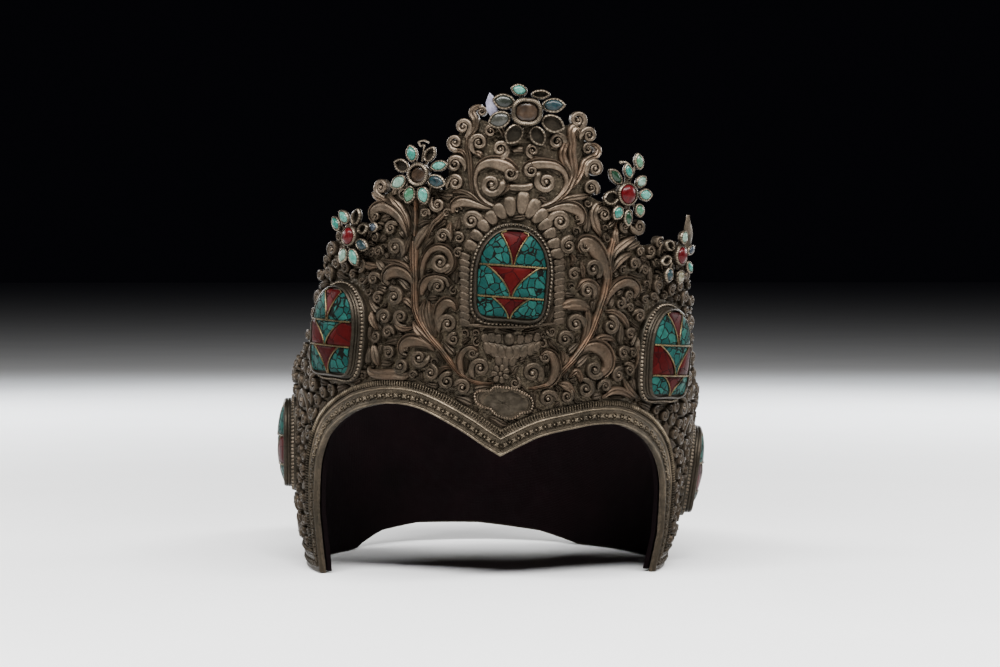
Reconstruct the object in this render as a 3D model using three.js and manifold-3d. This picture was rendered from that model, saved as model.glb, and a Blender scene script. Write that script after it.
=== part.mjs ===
// Ceremonial crown of silvered repousse metal: an oval scrollwork wall with a stepped top edge,
// five stone mosaics in box settings, five stone-set flowers, an arched brow rim and a cloth lining.
// Millimetres, +Z up, the front faces -Y. It is shaped upright, then leaned to stand on its two flaps.
import * as THREE from 'three';
import { mergeVertices } from 'three/addons/utils/BufferGeometryUtils.js';
import Module from 'manifold-3d';

const wasm = await Module();
wasm.setup();

const { degToRad, lerp, clamp } = THREE.MathUtils;

// The wall is laid out flat: arc runs along it from the middle of the front, right positive.
const ARC_RADIUS = 98;
const HALF_TURN = Math.PI * ARC_RADIUS;
const WALL_FACE = { out: 0, rows: 5 };
const WALL_BACK = { out: -1.6, rows: 4 };
const LINING_FACE = { out: -2.75, rows: 4 };
const LINING_BACK = { out: -3.9, rows: 2 };
const COLUMN_STEP = 16;
const LEAN = degToRad(4);
const GAP = 0.4;
const SINK = 1.0;

// Oval of the wall's outer face at each height.
const WALL_SECTIONS = [
  { height: -14, half_width: 82.5, half_depth: 87 },
  { height: 0, half_width: 85.5, half_depth: 90 },
  { height: 25, half_width: 91.0, half_depth: 95 },
  { height: 50, half_width: 94.0, half_depth: 97.3 },
  { height: 90, half_width: 96.2, half_depth: 99 },
  { height: 240, half_width: 95.0, half_depth: 98 },
];

// Top edge of the wall, stepping down from the crest to the back.
const TOP_EDGE = [
  { arc: 0, left: 219, right: 219 },
  { arc: 5, left: 218, right: 218 },
  { arc: 8, left: 208, right: 208 },
  { arc: 19, left: 211, right: 211 },
  { arc: 25, left: 213, right: 213 },
  { arc: 31, left: 206, right: 206 },
  { arc: 34, left: 196, right: 196 },
  { arc: 36, left: 179, right: 180 },
  { arc: 41, left: 187, right: 178 },
  { arc: 45, left: 187, right: 187 },
  { arc: 52, left: 183, right: 187 },
  { arc: 58, left: 180, right: 173 },
  { arc: 65, left: 176, right: 160 },
  { arc: 71, left: 172, right: 161 },
  { arc: 74, left: 160, right: 162 },
  { arc: 90, left: 160, right: 163 },
  { arc: 98, left: 155, right: 159 },
  { arc: 105, left: 147, right: 147 },
  { arc: 112, left: 133, right: 133 },
  { arc: 118, left: 113, right: 113 },
  { arc: 128, left: 100, right: 100 },
  { arc: 141, left: 95, right: 95 },
  { arc: 160, left: 90, right: 90 },
  { arc: HALF_TURN, left: 84, right: 84 },
];

// Lower edge: a cusp at the brow, two arches, the flaps that stand on the floor, a low arch behind.
const LOWER_EDGE = [
  { arc: 0, left: 60.3, right: 60.3 },
  { arc: 8, left: 64.4, right: 65.0 },
  { arc: 19, left: 70.6, right: 70.6 },
  { arc: 34, left: 77.2, right: 74.6 },
  { arc: 45, left: 79.8, right: 76.8 },
  { arc: 58, left: 79.4, right: 77.0 },
  { arc: 71, left: 76.2, right: 73.2 },
  { arc: 80, left: 72.2, right: 68.6 },
  { arc: 90, left: 66.2, right: 60.6 },
  { arc: 98, left: 58.8, right: 48.4 },
  { arc: 105, left: 45.5, right: 29.6 },
  { arc: 108, left: 31, right: 18.8 },
  { arc: 110.5, left: 10, right: 8 },
  { arc: 112, left: -14, right: -14 },
  { arc: 208, left: -14, right: -14 },
  { arc: 224, left: -3, right: -3 },
  { arc: 245, left: 4, right: 4 },
  { arc: 270, left: 8, right: 8 },
  { arc: HALF_TURN, left: 9.5, right: 9.5 },
];

// Scrolls raised on the wall. side: 0 on both halves, 1 right only, -1 left only.
// aim is the angle at which the arm begins round the eye; hand 1 winds anticlockwise on the right half.
const SCROLLS = [
  { arc: 22.6, height: 213, radius: 3.6, aim: -60, hand: 1, side: 0 },
  { arc: 28.5, height: 206, radius: 3.9, aim: 190, hand: -1, side: 0 },
  { arc: 31.2, height: 190.8, radius: 4.0, aim: 190, hand: -1, side: 0 },
  { arc: 16.7, height: 201.2, radius: 4.0, aim: -30, hand: 1, side: 0 },
  { arc: 7.9, height: 198, radius: 3.8, aim: -60, hand: -1, side: 0 },
  { arc: 13, height: 182.5, radius: 5.2, aim: 150, hand: 1, side: 0 },
  { arc: 19.4, height: 167, radius: 4.4, aim: 170, hand: 1, side: 0 },
  { arc: 38.7, height: 171, radius: 3.9, aim: -80, hand: 1, side: 0 },
  { arc: 30.4, height: 157.2, radius: 3.6, aim: 20, hand: 1, side: 0 },
  { arc: 34.6, height: 146.4, radius: 4.6, aim: 160, hand: 1, side: 0 },
  { arc: 33.4, height: 135.8, radius: 4.0, aim: -20, hand: -1, side: 0 },
  { arc: 29.4, height: 121, radius: 4.2, aim: -60, hand: 1, side: 0 },
  { arc: 11.7, height: 98.8, radius: 4.8, aim: -150, hand: 1, side: 0 },
  { arc: 56.8, height: 151.4, radius: 4.1, aim: -120, hand: -1, side: 0 },
  { arc: 67.3, height: 174.6, radius: 4.1, aim: -110, hand: -1, side: -1 },
  { arc: 58.5, height: 167.4, radius: 3.6, aim: -140, hand: -1, side: 1 },
  { arc: 53, height: 131.5, radius: 5.0, aim: -160, hand: -1, side: 0 },
  { arc: 49.6, height: 119.4, radius: 4.2, aim: 110, hand: 1, side: 0 },
  { arc: 40.4, height: 101.8, radius: 4.6, aim: -170, hand: -1, side: 0 },
  { arc: 110, height: 96, radius: 4.4, aim: -90, hand: -1, side: 0 },
  { arc: 118, height: 84, radius: 4.4, aim: 90, hand: 1, side: 0 },
];
const SCROLL_STEPS = 5;
const SCROLL_TURNS = 0.98;
const SCROLL_RISE = 2.2;

// Broad leaves that arch over the larger scrolls, as arcs round a middle.
const HOODS = [
  { arc: 13, height: 181.5, radius: 9.6, start: -40, end: 150, width: 3.6 },
  { arc: 19.4, height: 166, radius: 7.6, start: 20, end: 190, width: 3.0 },
  { arc: 34.6, height: 144.5, radius: 8.4, start: -50, end: 150, width: 3.4 },
  { arc: 53, height: 129.5, radius: 9.4, start: 10, end: 200, width: 3.6 },
  { arc: 40.4, height: 99.5, radius: 9.0, start: 30, end: 190, width: 3.4 },
];
const HOOD_STEPS = 6;
const HOOD_RISE = 2.0;

// Stems from the foot of the medallion up to the flowers, and up through the crest.
const BODY_STEM = [
  { arc: 5, height: 92.2, width: 2.2 },
  { arc: 12, height: 92, width: 2.4 },
  { arc: 18, height: 94, width: 2.6 },
  { arc: 24, height: 98.6, width: 2.8 },
  { arc: 31, height: 106, width: 3.0 },
  { arc: 36.5, height: 113.5, width: 3.0 },
  { arc: 41, height: 122, width: 3.0 },
  { arc: 44.6, height: 133, width: 3.0 },
  { arc: 46.4, height: 146, width: 2.8 },
  { arc: 47.6, height: 158, width: 2.6 },
  { arc: 47.8, height: 171, width: 2.2 },
];
const CREST_STEM = [
  { arc: 8, height: 173.5, width: 2.4 },
  { arc: 17, height: 175.8, width: 2.6 },
  { arc: 22, height: 182, width: 2.8 },
  { arc: 24, height: 190, width: 2.8 },
  { arc: 24, height: 199, width: 2.6 },
  { arc: 25, height: 207, width: 2.2 },
];
const STEM_RISE = 2.0;

// Ribbed arch of the niche that frames the front mosaic, from its foot to its point.
const NICHE_ARCH = [
  { arc: 21.5, height: 117.5 },
  { arc: 24.4, height: 129 },
  { arc: 24.2, height: 142 },
  { arc: 21.8, height: 153 },
  { arc: 16.5, height: 162.6 },
  { arc: 9, height: 169 },
  { arc: 0, height: 173.4 },
];
const NICHE_WIDTH = 4.4;
const NICHE_RISE = 2.4;

// Raised bosses: the ledge and lotus below the front mosaic, a rosette, and ties of the crest.
const BOSSES = [
  { arc: 0, height: 116.4, across: 20, up: 1.6, rise: 2.6 },
  { arc: 0, height: 110.4, across: 10.5, up: 3.2, rise: 2.6 },
  { arc: 0, height: 103.4, across: 5.5, up: 2.4, rise: 2.4 },
  { arc: 0, height: 97.6, across: 3.6, up: 3.6, rise: 2.6 },
  { arc: 0, height: 197.4, across: 2.4, up: 2.4, rise: 1.8 },
  { arc: 0, height: 180.8, across: 4.8, up: 1.8, rise: 1.8 },
];

// Moulded section of the brow rim: in is measured from the edge, out from the wall.
const RIM_SECTION = [
  { in: 0, out: 0.6 },
  { in: 0, out: 2.2 },
  { in: 7.6, out: 1.8 },
  { in: 9.2, out: 2.7 },
  { in: 11, out: 0.6 },
  { in: 5.5, out: 0.6 },
];
const RIM_LIFT = 0.5;

const LINING_INSET = 2.5;
const LINING_LIFT = 1.5;
const LINING_TOP = [
  { arc: 0, height: 150 },
  { arc: 40, height: 146 },
  { arc: 75, height: 134 },
  { arc: 100, height: 120 },
  { arc: 115, height: 98 },
  { arc: 130, height: 84 },
  { arc: 160, height: 78 },
  { arc: HALF_TURN, height: 74 },
];

// Right half of a mosaic's outline from foot to top, as shares of its half width and half height.
const MOSAIC_OUTLINE = [
  { across: 0, up: -1 },
  { across: 0.68, up: -1 },
  { across: 0.94, up: -0.82 },
  { across: 1, up: -0.3 },
  { across: 1, up: 0.14 },
  { across: 0.86, up: 0.56 },
  { across: 0.56, up: 0.86 },
  { across: 0.22, up: 0.99 },
];
const MOSAIC_HALF_WIDTH = 15;
const MOSAIC_HALF_HEIGHT = 19.5;

// The three tiers of a mosaic: heights in its own plane and the middle stone's half widths.
const TIERS = [
  { name: 'upper', top: 19.5, foot: 3.8, mouth: 6.4, waist: 2.6, tip: 1.0 },
  { name: 'middle', top: 3.8, foot: -10.2, mouth: 10.6, waist: 4.4, tip: 1.0 },
  { name: 'lower', top: -10.2, foot: -19.5, mouth: 7.6, waist: 3.4, tip: 1.0 },
];
const STONE_ROWS = 3;
const WIRE_HALF = 0.4;
const STONE_MARGIN = WIRE_HALF + 0.3;
const STONE_PART = 0.25;
const BED_LOW = 4.6;
const BED_HIGH = 6.0;
const WIRE_TOP = 8.6;
const STONE_TOP = 8.8;

// Section of a box setting: out from the mosaic's outline, front from its plane; the skirt meets the wall.
const SKIRT_GAP = 0.5;
const SETTING_SECTION = [
  { out: 0.3, skirt: true },
  { out: 3.4, skirt: true },
  { out: 3.4, front: 2.2 },
  { out: 1.5, front: 2.8 },
  { out: 1.1, front: 9.2 },
  { out: 0.3, front: 9.2 },
];

const MEDALLIONS = [
  { name: 'front', arc: -0.6, height: 141.8, fused: false },
  { name: 'left', arc: -87.9, height: 110.4, fused: false },
  { name: 'right', arc: 83.8, height: 110.5, fused: false },
  { name: 'left_side', arc: -152, height: 53.5, fused: true },
  { name: 'right_side', arc: 152, height: 53.5, fused: true },
];

// Flowers: reach is from the middle to a petal's own middle, long and wide are a petal's half sizes.
const FLOWERS = [
  { name: 'top', arc: 0.8, height: 214, reach: 10.9, long: 4.3, wide: 2.9, turn: 11, cup: 6.6, stone: 'crystal' },
  { name: 'left_inner', arc: -44.8, height: 183.4, reach: 9.2, long: 4, wide: 2.7, turn: 20, cup: 5.0, stone: 'crystal' },
  { name: 'right_inner', arc: 49.0, height: 181.3, reach: 9.6, long: 4, wide: 2.6, turn: 5, cup: 5.2, stone: 'coral' },
  { name: 'left_outer', arc: -79.4, height: 154, reach: 9, long: 3.8, wide: 2.5, turn: 16, cup: 4.6, stone: 'coral' },
  { name: 'right_outer', arc: 84.4, height: 155.8, reach: 9, long: 3.8, wide: 2.5, turn: 16, cup: 4.6, stone: 'coral' },
];
const PETAL_COUNT = 8;
const FLOWER_OUT = 3.6;
const PETAL_RISE = 2.6;
const CUP_RISE = 4.2;
const CUP_WALL = 0.9;

// Right half of the cloud-shaped cartouche over the brow cusp, from foot to top.
const CARTOUCHE_OUTLINE = [
  { across: 4.5, up: -4.8 },
  { across: 8.6, up: -5.6 },
  { across: 11.6, up: -3.0 },
  { across: 11.4, up: 0.4 },
  { across: 9.4, up: 2.8 },
  { across: 6.2, up: 5.6 },
  { across: 2.8, up: 4.6 },
];
const CARTOUCHE_ARC = -0.2;
const CARTOUCHE_HEIGHT = 84.4;

const silver = new THREE.MeshStandardMaterial({ color: 0x8d7d69, metalness: 0.9, roughness: 0.45 });
const cloth = new THREE.MeshStandardMaterial({ color: 0x2a1018, metalness: 0, roughness: 0.95 });
const turquoise = new THREE.MeshStandardMaterial({ color: 0x2f968c, metalness: 0, roughness: 0.4 });
const coral = new THREE.MeshStandardMaterial({ color: 0x961e23, metalness: 0, roughness: 0.35 });
const crystal = new THREE.MeshStandardMaterial({ color: 0x8a6a52, metalness: 0, roughness: 0.15 });
const materials = { silver, cloth, turquoise, coral, crystal };

// Reads a table at a place between its rows.
function between(rows, at, key, column) {
  let low = 0;
  while (low < rows.length - 2 && rows[low + 1][key] < at) {
    low += 1;
  }
  const span = rows[low + 1][key] - rows[low][key];
  const share = clamp((at - rows[low][key]) / span, 0, 1);
  return lerp(rows[low][column], rows[low + 1][column], share);
}

// A place on the wall, out in front of its outer face.
function onWall(arc, height, out) {
  const turn = arc / ARC_RADIUS;
  const width = between(WALL_SECTIONS, height, 'height', 'half_width') + out;
  const depth = between(WALL_SECTIONS, height, 'height', 'half_depth') + out;
  return new THREE.Vector3(width * Math.sin(turn), -depth * Math.cos(turn), height);
}

function topEdge(arc) {
  return between(TOP_EDGE, Math.abs(arc), 'arc', arc < 0 ? 'left' : 'right');
}

function lowerEdge(arc) {
  return between(LOWER_EDGE, Math.abs(arc), 'arc', arc < 0 ? 'left' : 'right');
}

// Height of the floor under the wall, which slopes while the crown is still upright.
function floorHeight(arc) {
  return onWall(arc, 0, 0).x * Math.tan(LEAN);
}

// A closed body from points and triangles, turned the right way out.
function solid(points, faces) {
  const a = new THREE.Vector3();
  let volume = 0;
  for (let i = 0; i < faces.length; i += 3) {
    a.crossVectors(points[faces[i + 1]], points[faces[i + 2]]);
    volume += points[faces[i]].dot(a);
  }
  const triVerts = Uint32Array.from(volume < 0 ? faces.slice().reverse() : faces);
  const vertProperties = Float32Array.from(points.flatMap((point) => point.toArray()));
  return new wasm.Manifold(new wasm.Mesh({ numProp: 3, vertProperties, triVerts }));
}

// Skins a row of sections that have the same number of points; an open row gets two end faces.
function loft(sections, closed) {
  const count = sections[0].length;
  const faces = [];
  const spans = closed ? sections.length : sections.length - 1;
  for (let i = 0; i < spans; i += 1) {
    const here = i * count;
    const next = ((i + 1) % sections.length) * count;
    for (let j = 0; j < count; j += 1) {
      const k = (j + 1) % count;
      faces.push(here + j, next + j, next + k);
      faces.push(here + j, next + k, here + k);
    }
  }
  const last = (sections.length - 1) * count;
  for (let j = 1; !closed && j < count - 1; j += 1) {
    faces.push(0, j, j + 1);
    faces.push(last, last + j + 1, last + j);
  }
  return solid(sections.flat(), faces);
}

// A plain shape pushed out along its own front, then set in place.
function prism(corners, low, high, place) {
  const shape = new THREE.Shape(corners.map((corner) => new THREE.Vector2(corner.x, corner.y)));
  const block = new THREE.ExtrudeGeometry(shape, { depth: high - low, bevelEnabled: false, steps: 1 });
  block.translate(0, 0, low);
  block.applyMatrix4(place);
  block.deleteAttribute('normal');
  block.deleteAttribute('uv');
  const merged = mergeVertices(block, 1e-4);
  const spots = merged.getAttribute('position');
  const points = [];
  for (let i = 0; i < spots.count; i += 1) {
    points.push(new THREE.Vector3().fromBufferAttribute(spots, i));
  }
  return solid(points, Array.from(merged.index.array));
}

function joined(bodies) {
  return bodies.reduce((whole, body) => whole.add(body));
}

function node(name, body, material) {
  const mesh = body.getMesh();
  const geometry = new THREE.BufferGeometry();
  geometry.setAttribute('position', new THREE.BufferAttribute(Float32Array.from(mesh.vertProperties), 3));
  geometry.setIndex(Array.from(mesh.triVerts));
  geometry.computeVertexNormals();
  const part = new THREE.Mesh(geometry, material.clone());
  part.name = name;
  return part;
}

// Arcs at which the wall is sectioned: every turn of its two edges, and steps between them.
function wallArcs() {
  const half = [];
  for (const row of [...TOP_EDGE, ...LOWER_EDGE]) {
    half.push(row.arc);
  }
  for (let arc = COLUMN_STEP; arc < HALF_TURN - 2; arc += COLUMN_STEP) {
    if (half.every((other) => Math.abs(other - arc) > 0.55 * COLUMN_STEP)) {
      half.push(arc);
    }
  }
  const sorted = half.sort((one, other) => one - other);
  const right = sorted.filter((arc, i) => i === 0 || arc - sorted[i - 1] > 0.5);
  const left = right.slice(1, -1).map((arc) => -arc);
  return [...right, ...left.reverse()];
}

// A ring of wall between two edges and two faces; each face is divided into rows.
function ringWall(arcs, lower, upper, outer, inner) {
  const sections = arcs.map((arc) => {
    const low = lower(arc);
    const high = upper(arc);
    const section = [];
    for (let i = 0; i <= outer.rows; i += 1) {
      section.push(onWall(arc, lerp(low, high, i / outer.rows), outer.out));
    }
    for (let i = inner.rows; i >= 0; i -= 1) {
      section.push(onWall(arc, lerp(low, high, i / inner.rows), inner.out));
    }
    return section;
  });
  return loft(sections, true);
}

// A three-sided ridge along a path on the wall; each path row has arc, height, width and rise.
function ridge(path) {
  const sections = path.map((row, i) => {
    const back = path[Math.max(i - 1, 0)];
    const ahead = path[Math.min(i + 1, path.length - 1)];
    const along = new THREE.Vector2(ahead.arc - back.arc, ahead.height - back.height).normalize();
    const half = row.width / 2;
    return [
      onWall(row.arc - along.y * half, row.height + along.x * half, -SINK),
      onWall(row.arc, row.height, row.rise),
      onWall(row.arc + along.y * half, row.height - along.x * half, -SINK),
    ];
  });
  return loft(sections, false);
}

function mirrored(path, side) {
  return path.map((row) => ({ ...row, arc: row.arc * side }));
}

function scrollPath(row) {
  const path = [];
  for (let i = 0; i <= SCROLL_STEPS; i += 1) {
    const share = i / SCROLL_STEPS;
    const angle = degToRad(row.aim) + row.hand * SCROLL_TURNS * 2 * Math.PI * share;
    const radius = row.radius * (0.84 - 0.62 * share);
    path.push({
      arc: row.arc + radius * Math.cos(angle),
      height: row.height + radius * Math.sin(angle),
      width: row.radius * (0.5 - 0.14 * share),
      rise: SCROLL_RISE,
    });
  }
  return path;
}

function hoodPath(row) {
  const path = [];
  for (let i = 0; i <= HOOD_STEPS; i += 1) {
    const share = i / HOOD_STEPS;
    const angle = degToRad(lerp(row.start, row.end, share));
    path.push({
      arc: row.arc + row.radius * Math.cos(angle),
      height: row.height + row.radius * Math.sin(angle),
      width: 1.2 + row.width * Math.sin(Math.PI * share),
      rise: HOOD_RISE,
    });
  }
  return path;
}

// A low eight-sided dome on the wall.
function boss(row) {
  const rings = [
    { share: 1, out: -SINK },
    { share: 1, out: 0.5 * row.rise },
    { share: 0.6, out: row.rise },
  ];
  const sections = rings.map((ring) => {
    const section = [];
    for (let i = 0; i < 8; i += 1) {
      const angle = (i + 0.5) * Math.PI / 4;
      const across = row.across * ring.share * Math.cos(angle);
      const up = row.up * ring.share * Math.sin(angle);
      section.push(onWall(row.arc + across, row.height + up, ring.out));
    }
    return section;
  });
  return loft(sections, false);
}

function floorBlock() {
  const corners = [[-200, -200], [200, -200], [200, 200], [-200, 200]];
  const points = corners.map((corner) => ({ x: corner[0], y: corner[1] }));
  return prism(points, -60, 0, new THREE.Matrix4().makeRotationY(-LEAN));
}

function buildShell() {
  const low = (arc) => Math.max(lowerEdge(arc), floorHeight(arc) - 4);
  const wall = ringWall(wallArcs(), low, topEdge, WALL_FACE, WALL_BACK);
  const relief = BOSSES.map(boss);
  for (const side of [1, -1]) {
    const rows = SCROLLS.filter((row) => row.side * side >= 0);
    relief.push(...rows.map((row) => ridge(mirrored(scrollPath(row), side))));
    relief.push(...HOODS.map((row) => ridge(mirrored(hoodPath(row), side))));
    for (const stem of [BODY_STEM, CREST_STEM]) {
      relief.push(ridge(mirrored(stem.map((row) => ({ ...row, rise: STEM_RISE })), side)));
    }
    const arch = NICHE_ARCH.map((row) => ({ ...row, width: NICHE_WIDTH, rise: NICHE_RISE }));
    relief.push(ridge(mirrored(arch, side)));
  }
  return joined([wall, ...relief]).subtract(floorBlock());
}

// The arcs at which the lower edge turns, and those of the wall behind.
function edgeArcs() {
  return wallArcs().filter((arc) => {
    const near = LOWER_EDGE.some((row) => Math.abs(row.arc - Math.abs(arc)) < 0.01);
    return near || Math.abs(arc) > 124;
  });
}

// The path of the lower edge that the rim follows all the way round.
function rimPath() {
  return edgeArcs().map((arc) => {
    const height = Math.max(lowerEdge(arc), floorHeight(arc) + RIM_LIFT);
    return new THREE.Vector2(arc, height);
  });
}

function buildRim() {
  const spots = rimPath();
  const count = spots.length;
  const wrap = (step) => step - 2 * HALF_TURN * Math.round(step / (2 * HALF_TURN));
  const sections = spots.map((spot, i) => {
    const back = spots[(i + count - 1) % count];
    const ahead = spots[(i + 1) % count];
    const before = new THREE.Vector2(wrap(spot.x - back.x), spot.y - back.y).normalize();
    const after = new THREE.Vector2(wrap(ahead.x - spot.x), ahead.y - spot.y).normalize();
    const along = before.clone().add(after).normalize();
    const stretch = 1 / Math.max(along.dot(before), 0.6);
    return RIM_SECTION.map((row) => {
      const reach = row.in * stretch;
      return onWall(spot.x - along.y * reach, spot.y + along.x * reach, row.out);
    });
  });
  return loft(sections, true);
}

function buildLining() {
  const low = (arc) => Math.max(lowerEdge(arc) + LINING_INSET, floorHeight(arc) + LINING_LIFT);
  const high = (arc) => between(LINING_TOP, Math.abs(arc), 'arc', 'height');
  return ringWall(edgeArcs(), low, high, LINING_FACE, LINING_BACK);
}

// The plane that a setting or flower stands on: x along the wall, y up it, z out of it.
function facing(arc, height, out) {
  const across = onWall(arc + 1, height, 0).sub(onWall(arc - 1, height, 0)).normalize();
  const rise = onWall(arc, height + 8, 0).sub(onWall(arc, height - 8, 0)).normalize();
  const front = new THREE.Vector3().crossVectors(across, rise).normalize();
  const up = new THREE.Vector3().crossVectors(front, across).normalize();
  const spot = onWall(arc, height, 0).addScaledVector(front, out);
  return new THREE.Matrix4().makeBasis(across, up, front).setPosition(spot);
}

function mosaicOutline(grow) {
  const right = MOSAIC_OUTLINE.map((row) => {
    const spot = new THREE.Vector2(row.across * MOSAIC_HALF_WIDTH, row.up * MOSAIC_HALF_HEIGHT);
    const away = new THREE.Vector2(row.across / MOSAIC_HALF_WIDTH, row.up / MOSAIC_HALF_HEIGHT);
    return spot.addScaledVector(away.normalize(), grow);
  });
  return [...right, ...flipped(right.slice(1))];
}

// Half width of a mosaic at a height in its plane.
function mosaicReach(up) {
  const rows = [...MOSAIC_OUTLINE, { across: 0, up: 1 }];
  return MOSAIC_HALF_WIDTH * between(rows, up / MOSAIC_HALF_HEIGHT, 'up', 'across');
}

// Half width of a tier's middle stone at a height; it tapers from its mouth to its tip.
function stoneReach(tier, up) {
  const share = clamp((tier.top - up) / (tier.top - tier.foot), 0, 1);
  if (share < 0.45) {
    return lerp(tier.mouth, tier.waist, share / 0.45);
  }
  return lerp(tier.waist, tier.tip, (share - 0.45) / 0.55);
}

// Outline of one stone of a tier: the middle one, or the one on the right.
function stoneCorners(tier, middle) {
  const inner = [];
  const outer = [];
  let top = tier.top - STONE_MARGIN;
  while (!middle && mosaicReach(top) - stoneReach(tier, top) < 2 * STONE_MARGIN + 0.8) {
    top -= 0.25;
  }
  for (let i = 0; i <= STONE_ROWS; i += 1) {
    const up = lerp(top, tier.foot + STONE_MARGIN, i / STONE_ROWS);
    const edge = mosaicReach(up) - STONE_MARGIN;
    const split = stoneReach(tier, up);
    const far = middle ? Math.max(Math.min(split - STONE_PART, edge), 0.3) : edge;
    const near = middle ? -far : split + STONE_PART;
    outer.push(new THREE.Vector2(far, up));
    inner.push(new THREE.Vector2(near, up));
  }
  return [...outer, ...inner.reverse()];
}

// Outline of a whole tier.
function tierCorners(tier) {
  const right = [];
  for (let i = 0; i <= STONE_ROWS; i += 1) {
    const up = lerp(tier.top - STONE_MARGIN, tier.foot + STONE_MARGIN, i / STONE_ROWS);
    right.push(new THREE.Vector2(mosaicReach(up) - STONE_MARGIN, up));
  }
  return [...right, ...flipped(right)];
}

function flipped(corners) {
  return corners.map((corner) => new THREE.Vector2(-corner.x, corner.y)).reverse();
}

// The wire between a tier and the next one down, standing on the bed.
function tierWire(tier, place) {
  const reach = mosaicReach(tier.foot) + 0.5;
  const bar = [[-reach, -WIRE_HALF], [reach, -WIRE_HALF], [reach, WIRE_HALF], [-reach, WIRE_HALF]];
  const corners = bar.map((corner) => ({ x: corner[0], y: tier.foot + corner[1] }));
  return prism(corners, BED_HIGH - 0.5, WIRE_TOP, place);
}

function tierStones(tier, place, low) {
  const middle = stoneCorners(tier, true);
  const right = stoneCorners(tier, false);
  return {
    middle: prism(middle, low, STONE_TOP, place),
    right: prism(right, low, STONE_TOP, place),
    left: prism(flipped(right), low, STONE_TOP, place),
  };
}

function buildMedallion(row) {
  const place = facing(row.arc, row.height, 0);
  const rings = mosaicOutline(1).map((spot, i) => {
    const base = mosaicOutline(0)[i];
    const away = spot.clone().sub(base);
    return SETTING_SECTION.map((corner) => {
      const at = base.clone().addScaledVector(away, corner.out);
      if (corner.skirt) {
        return onWall(row.arc + at.x, row.height + at.y, SKIRT_GAP);
      }
      return new THREE.Vector3(at.x, at.y, corner.front).applyMatrix4(place);
    });
  });
  const bed = prism(mosaicOutline(0.7), BED_LOW, BED_HIGH, place);
  const frame = joined([loft(rings, true), bed]);
  if (row.fused) {
    const fields = TIERS.map((tier) => prism(tierCorners(tier), BED_HIGH - 0.5, STONE_TOP, place));
    return [node(`${row.name}_medallion`, joined([frame, ...fields]), silver)];
  }
  const wires = TIERS.slice(0, 2).map((tier) => tierWire(tier, place));
  const parts = [node(`${row.name}_setting`, joined([frame, ...wires]), silver)];
  for (const tier of TIERS) {
    const swapped = row.name !== 'front' && tier.name === 'middle';
    const stones = tierStones(tier, place, BED_HIGH + 0.3);
    for (const [spot, body] of Object.entries(stones)) {
      const red = (spot === 'middle') !== swapped;
      const spotName = spot === 'middle' ? 'centre' : `${spot}_stone`;
      parts.push(node(`${row.name}_${tier.name}_${spotName}`, body, red ? coral : turquoise));
    }
  }
  return parts;
}

// A ring of points on a flower's plane.
function ringPoints(radius, front, count, place) {
  const points = [];
  for (let i = 0; i < count; i += 1) {
    const angle = (i + 0.5) * 2 * Math.PI / count;
    points.push(new THREE.Vector3(radius * Math.cos(angle), radius * Math.sin(angle), front).applyMatrix4(place));
  }
  return points;
}

// The eight pointed petals as one plate, each with its tip, its shoulders and the valley after it.
function petalPlate(row, place) {
  const corners = [];
  for (let i = 0; i < PETAL_COUNT; i += 1) {
    const middle = degToRad(row.turn) + i * 2 * Math.PI / PETAL_COUNT;
    const valley = middle + Math.PI / PETAL_COUNT;
    const shoulder = Math.atan2(row.wide, row.reach);
    const far = Math.hypot(row.wide, row.reach);
    for (const [angle, size] of [[middle - shoulder, far], [middle, row.reach + row.long], [middle + shoulder, far]]) {
      corners.push(new THREE.Vector2(size * Math.cos(angle), size * Math.sin(angle)));
    }
    corners.push(new THREE.Vector2((row.cup + 0.6) * Math.cos(valley), (row.cup + 0.6) * Math.sin(valley)));
  }
  return prism(corners, 0, PETAL_RISE, place);
}

function buildFlower(row) {
  const place = facing(row.arc, row.height, FLOWER_OUT);
  const post = loft([ringPoints(2.2, GAP - FLOWER_OUT, 6, place), ringPoints(2.2, 0.5, 6, place)], false);
  const cup = loft([ringPoints(row.cup, 0.5, 8, place), ringPoints(row.cup, CUP_RISE, 8, place)], false);
  const hollow = loft([
    ringPoints(row.cup - CUP_WALL, 1.6, 8, place),
    ringPoints(row.cup - CUP_WALL, CUP_RISE + 1, 8, place),
  ], false);
  const stoneSize = row.cup - CUP_WALL - 0.3;
  const stone = loft([
    ringPoints(stoneSize, 1.9, 8, place),
    ringPoints(stoneSize, CUP_RISE - 0.4, 8, place),
    ringPoints(0.6 * stoneSize, CUP_RISE + 0.9, 8, place),
  ], false);
  const metal = joined([petalPlate(row, place), post, cup]).subtract(hollow);
  return [
    node(`${row.name}_flower`, metal, silver),
    node(`${row.name}_flower_stone`, stone, materials[row.stone]),
  ];
}

function buildCartouche() {
  const left = CARTOUCHE_OUTLINE.map((row) => ({ across: -row.across, up: row.up }));
  const outline = [...CARTOUCHE_OUTLINE, ...left.reverse()];
  const sections = outline.map((row) => {
    const size = Math.hypot(row.across, row.up);
    const corners = [[0, GAP], [0, 2.0], [1.3, 2.4], [1.6, GAP]];
    return corners.map((corner) => {
      const share = (size - corner[0]) / size;
      return onWall(CARTOUCHE_ARC + row.across * share, CARTOUCHE_HEIGHT + row.up * share, corner[1]);
    });
  });
  return loft(sections, true);
}

const crown = new THREE.Group();
crown.name = 'ceremonial_crown';
crown.add(node('crown_shell', buildShell(), silver));
crown.add(node('brow_rim', buildRim(), silver));
crown.add(node('lining', buildLining(), cloth));
crown.add(node('cartouche', buildCartouche(), silver));
for (const row of MEDALLIONS) {
  crown.add(...buildMedallion(row));
}
for (const row of FLOWERS) {
  crown.add(...buildFlower(row));
}

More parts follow.
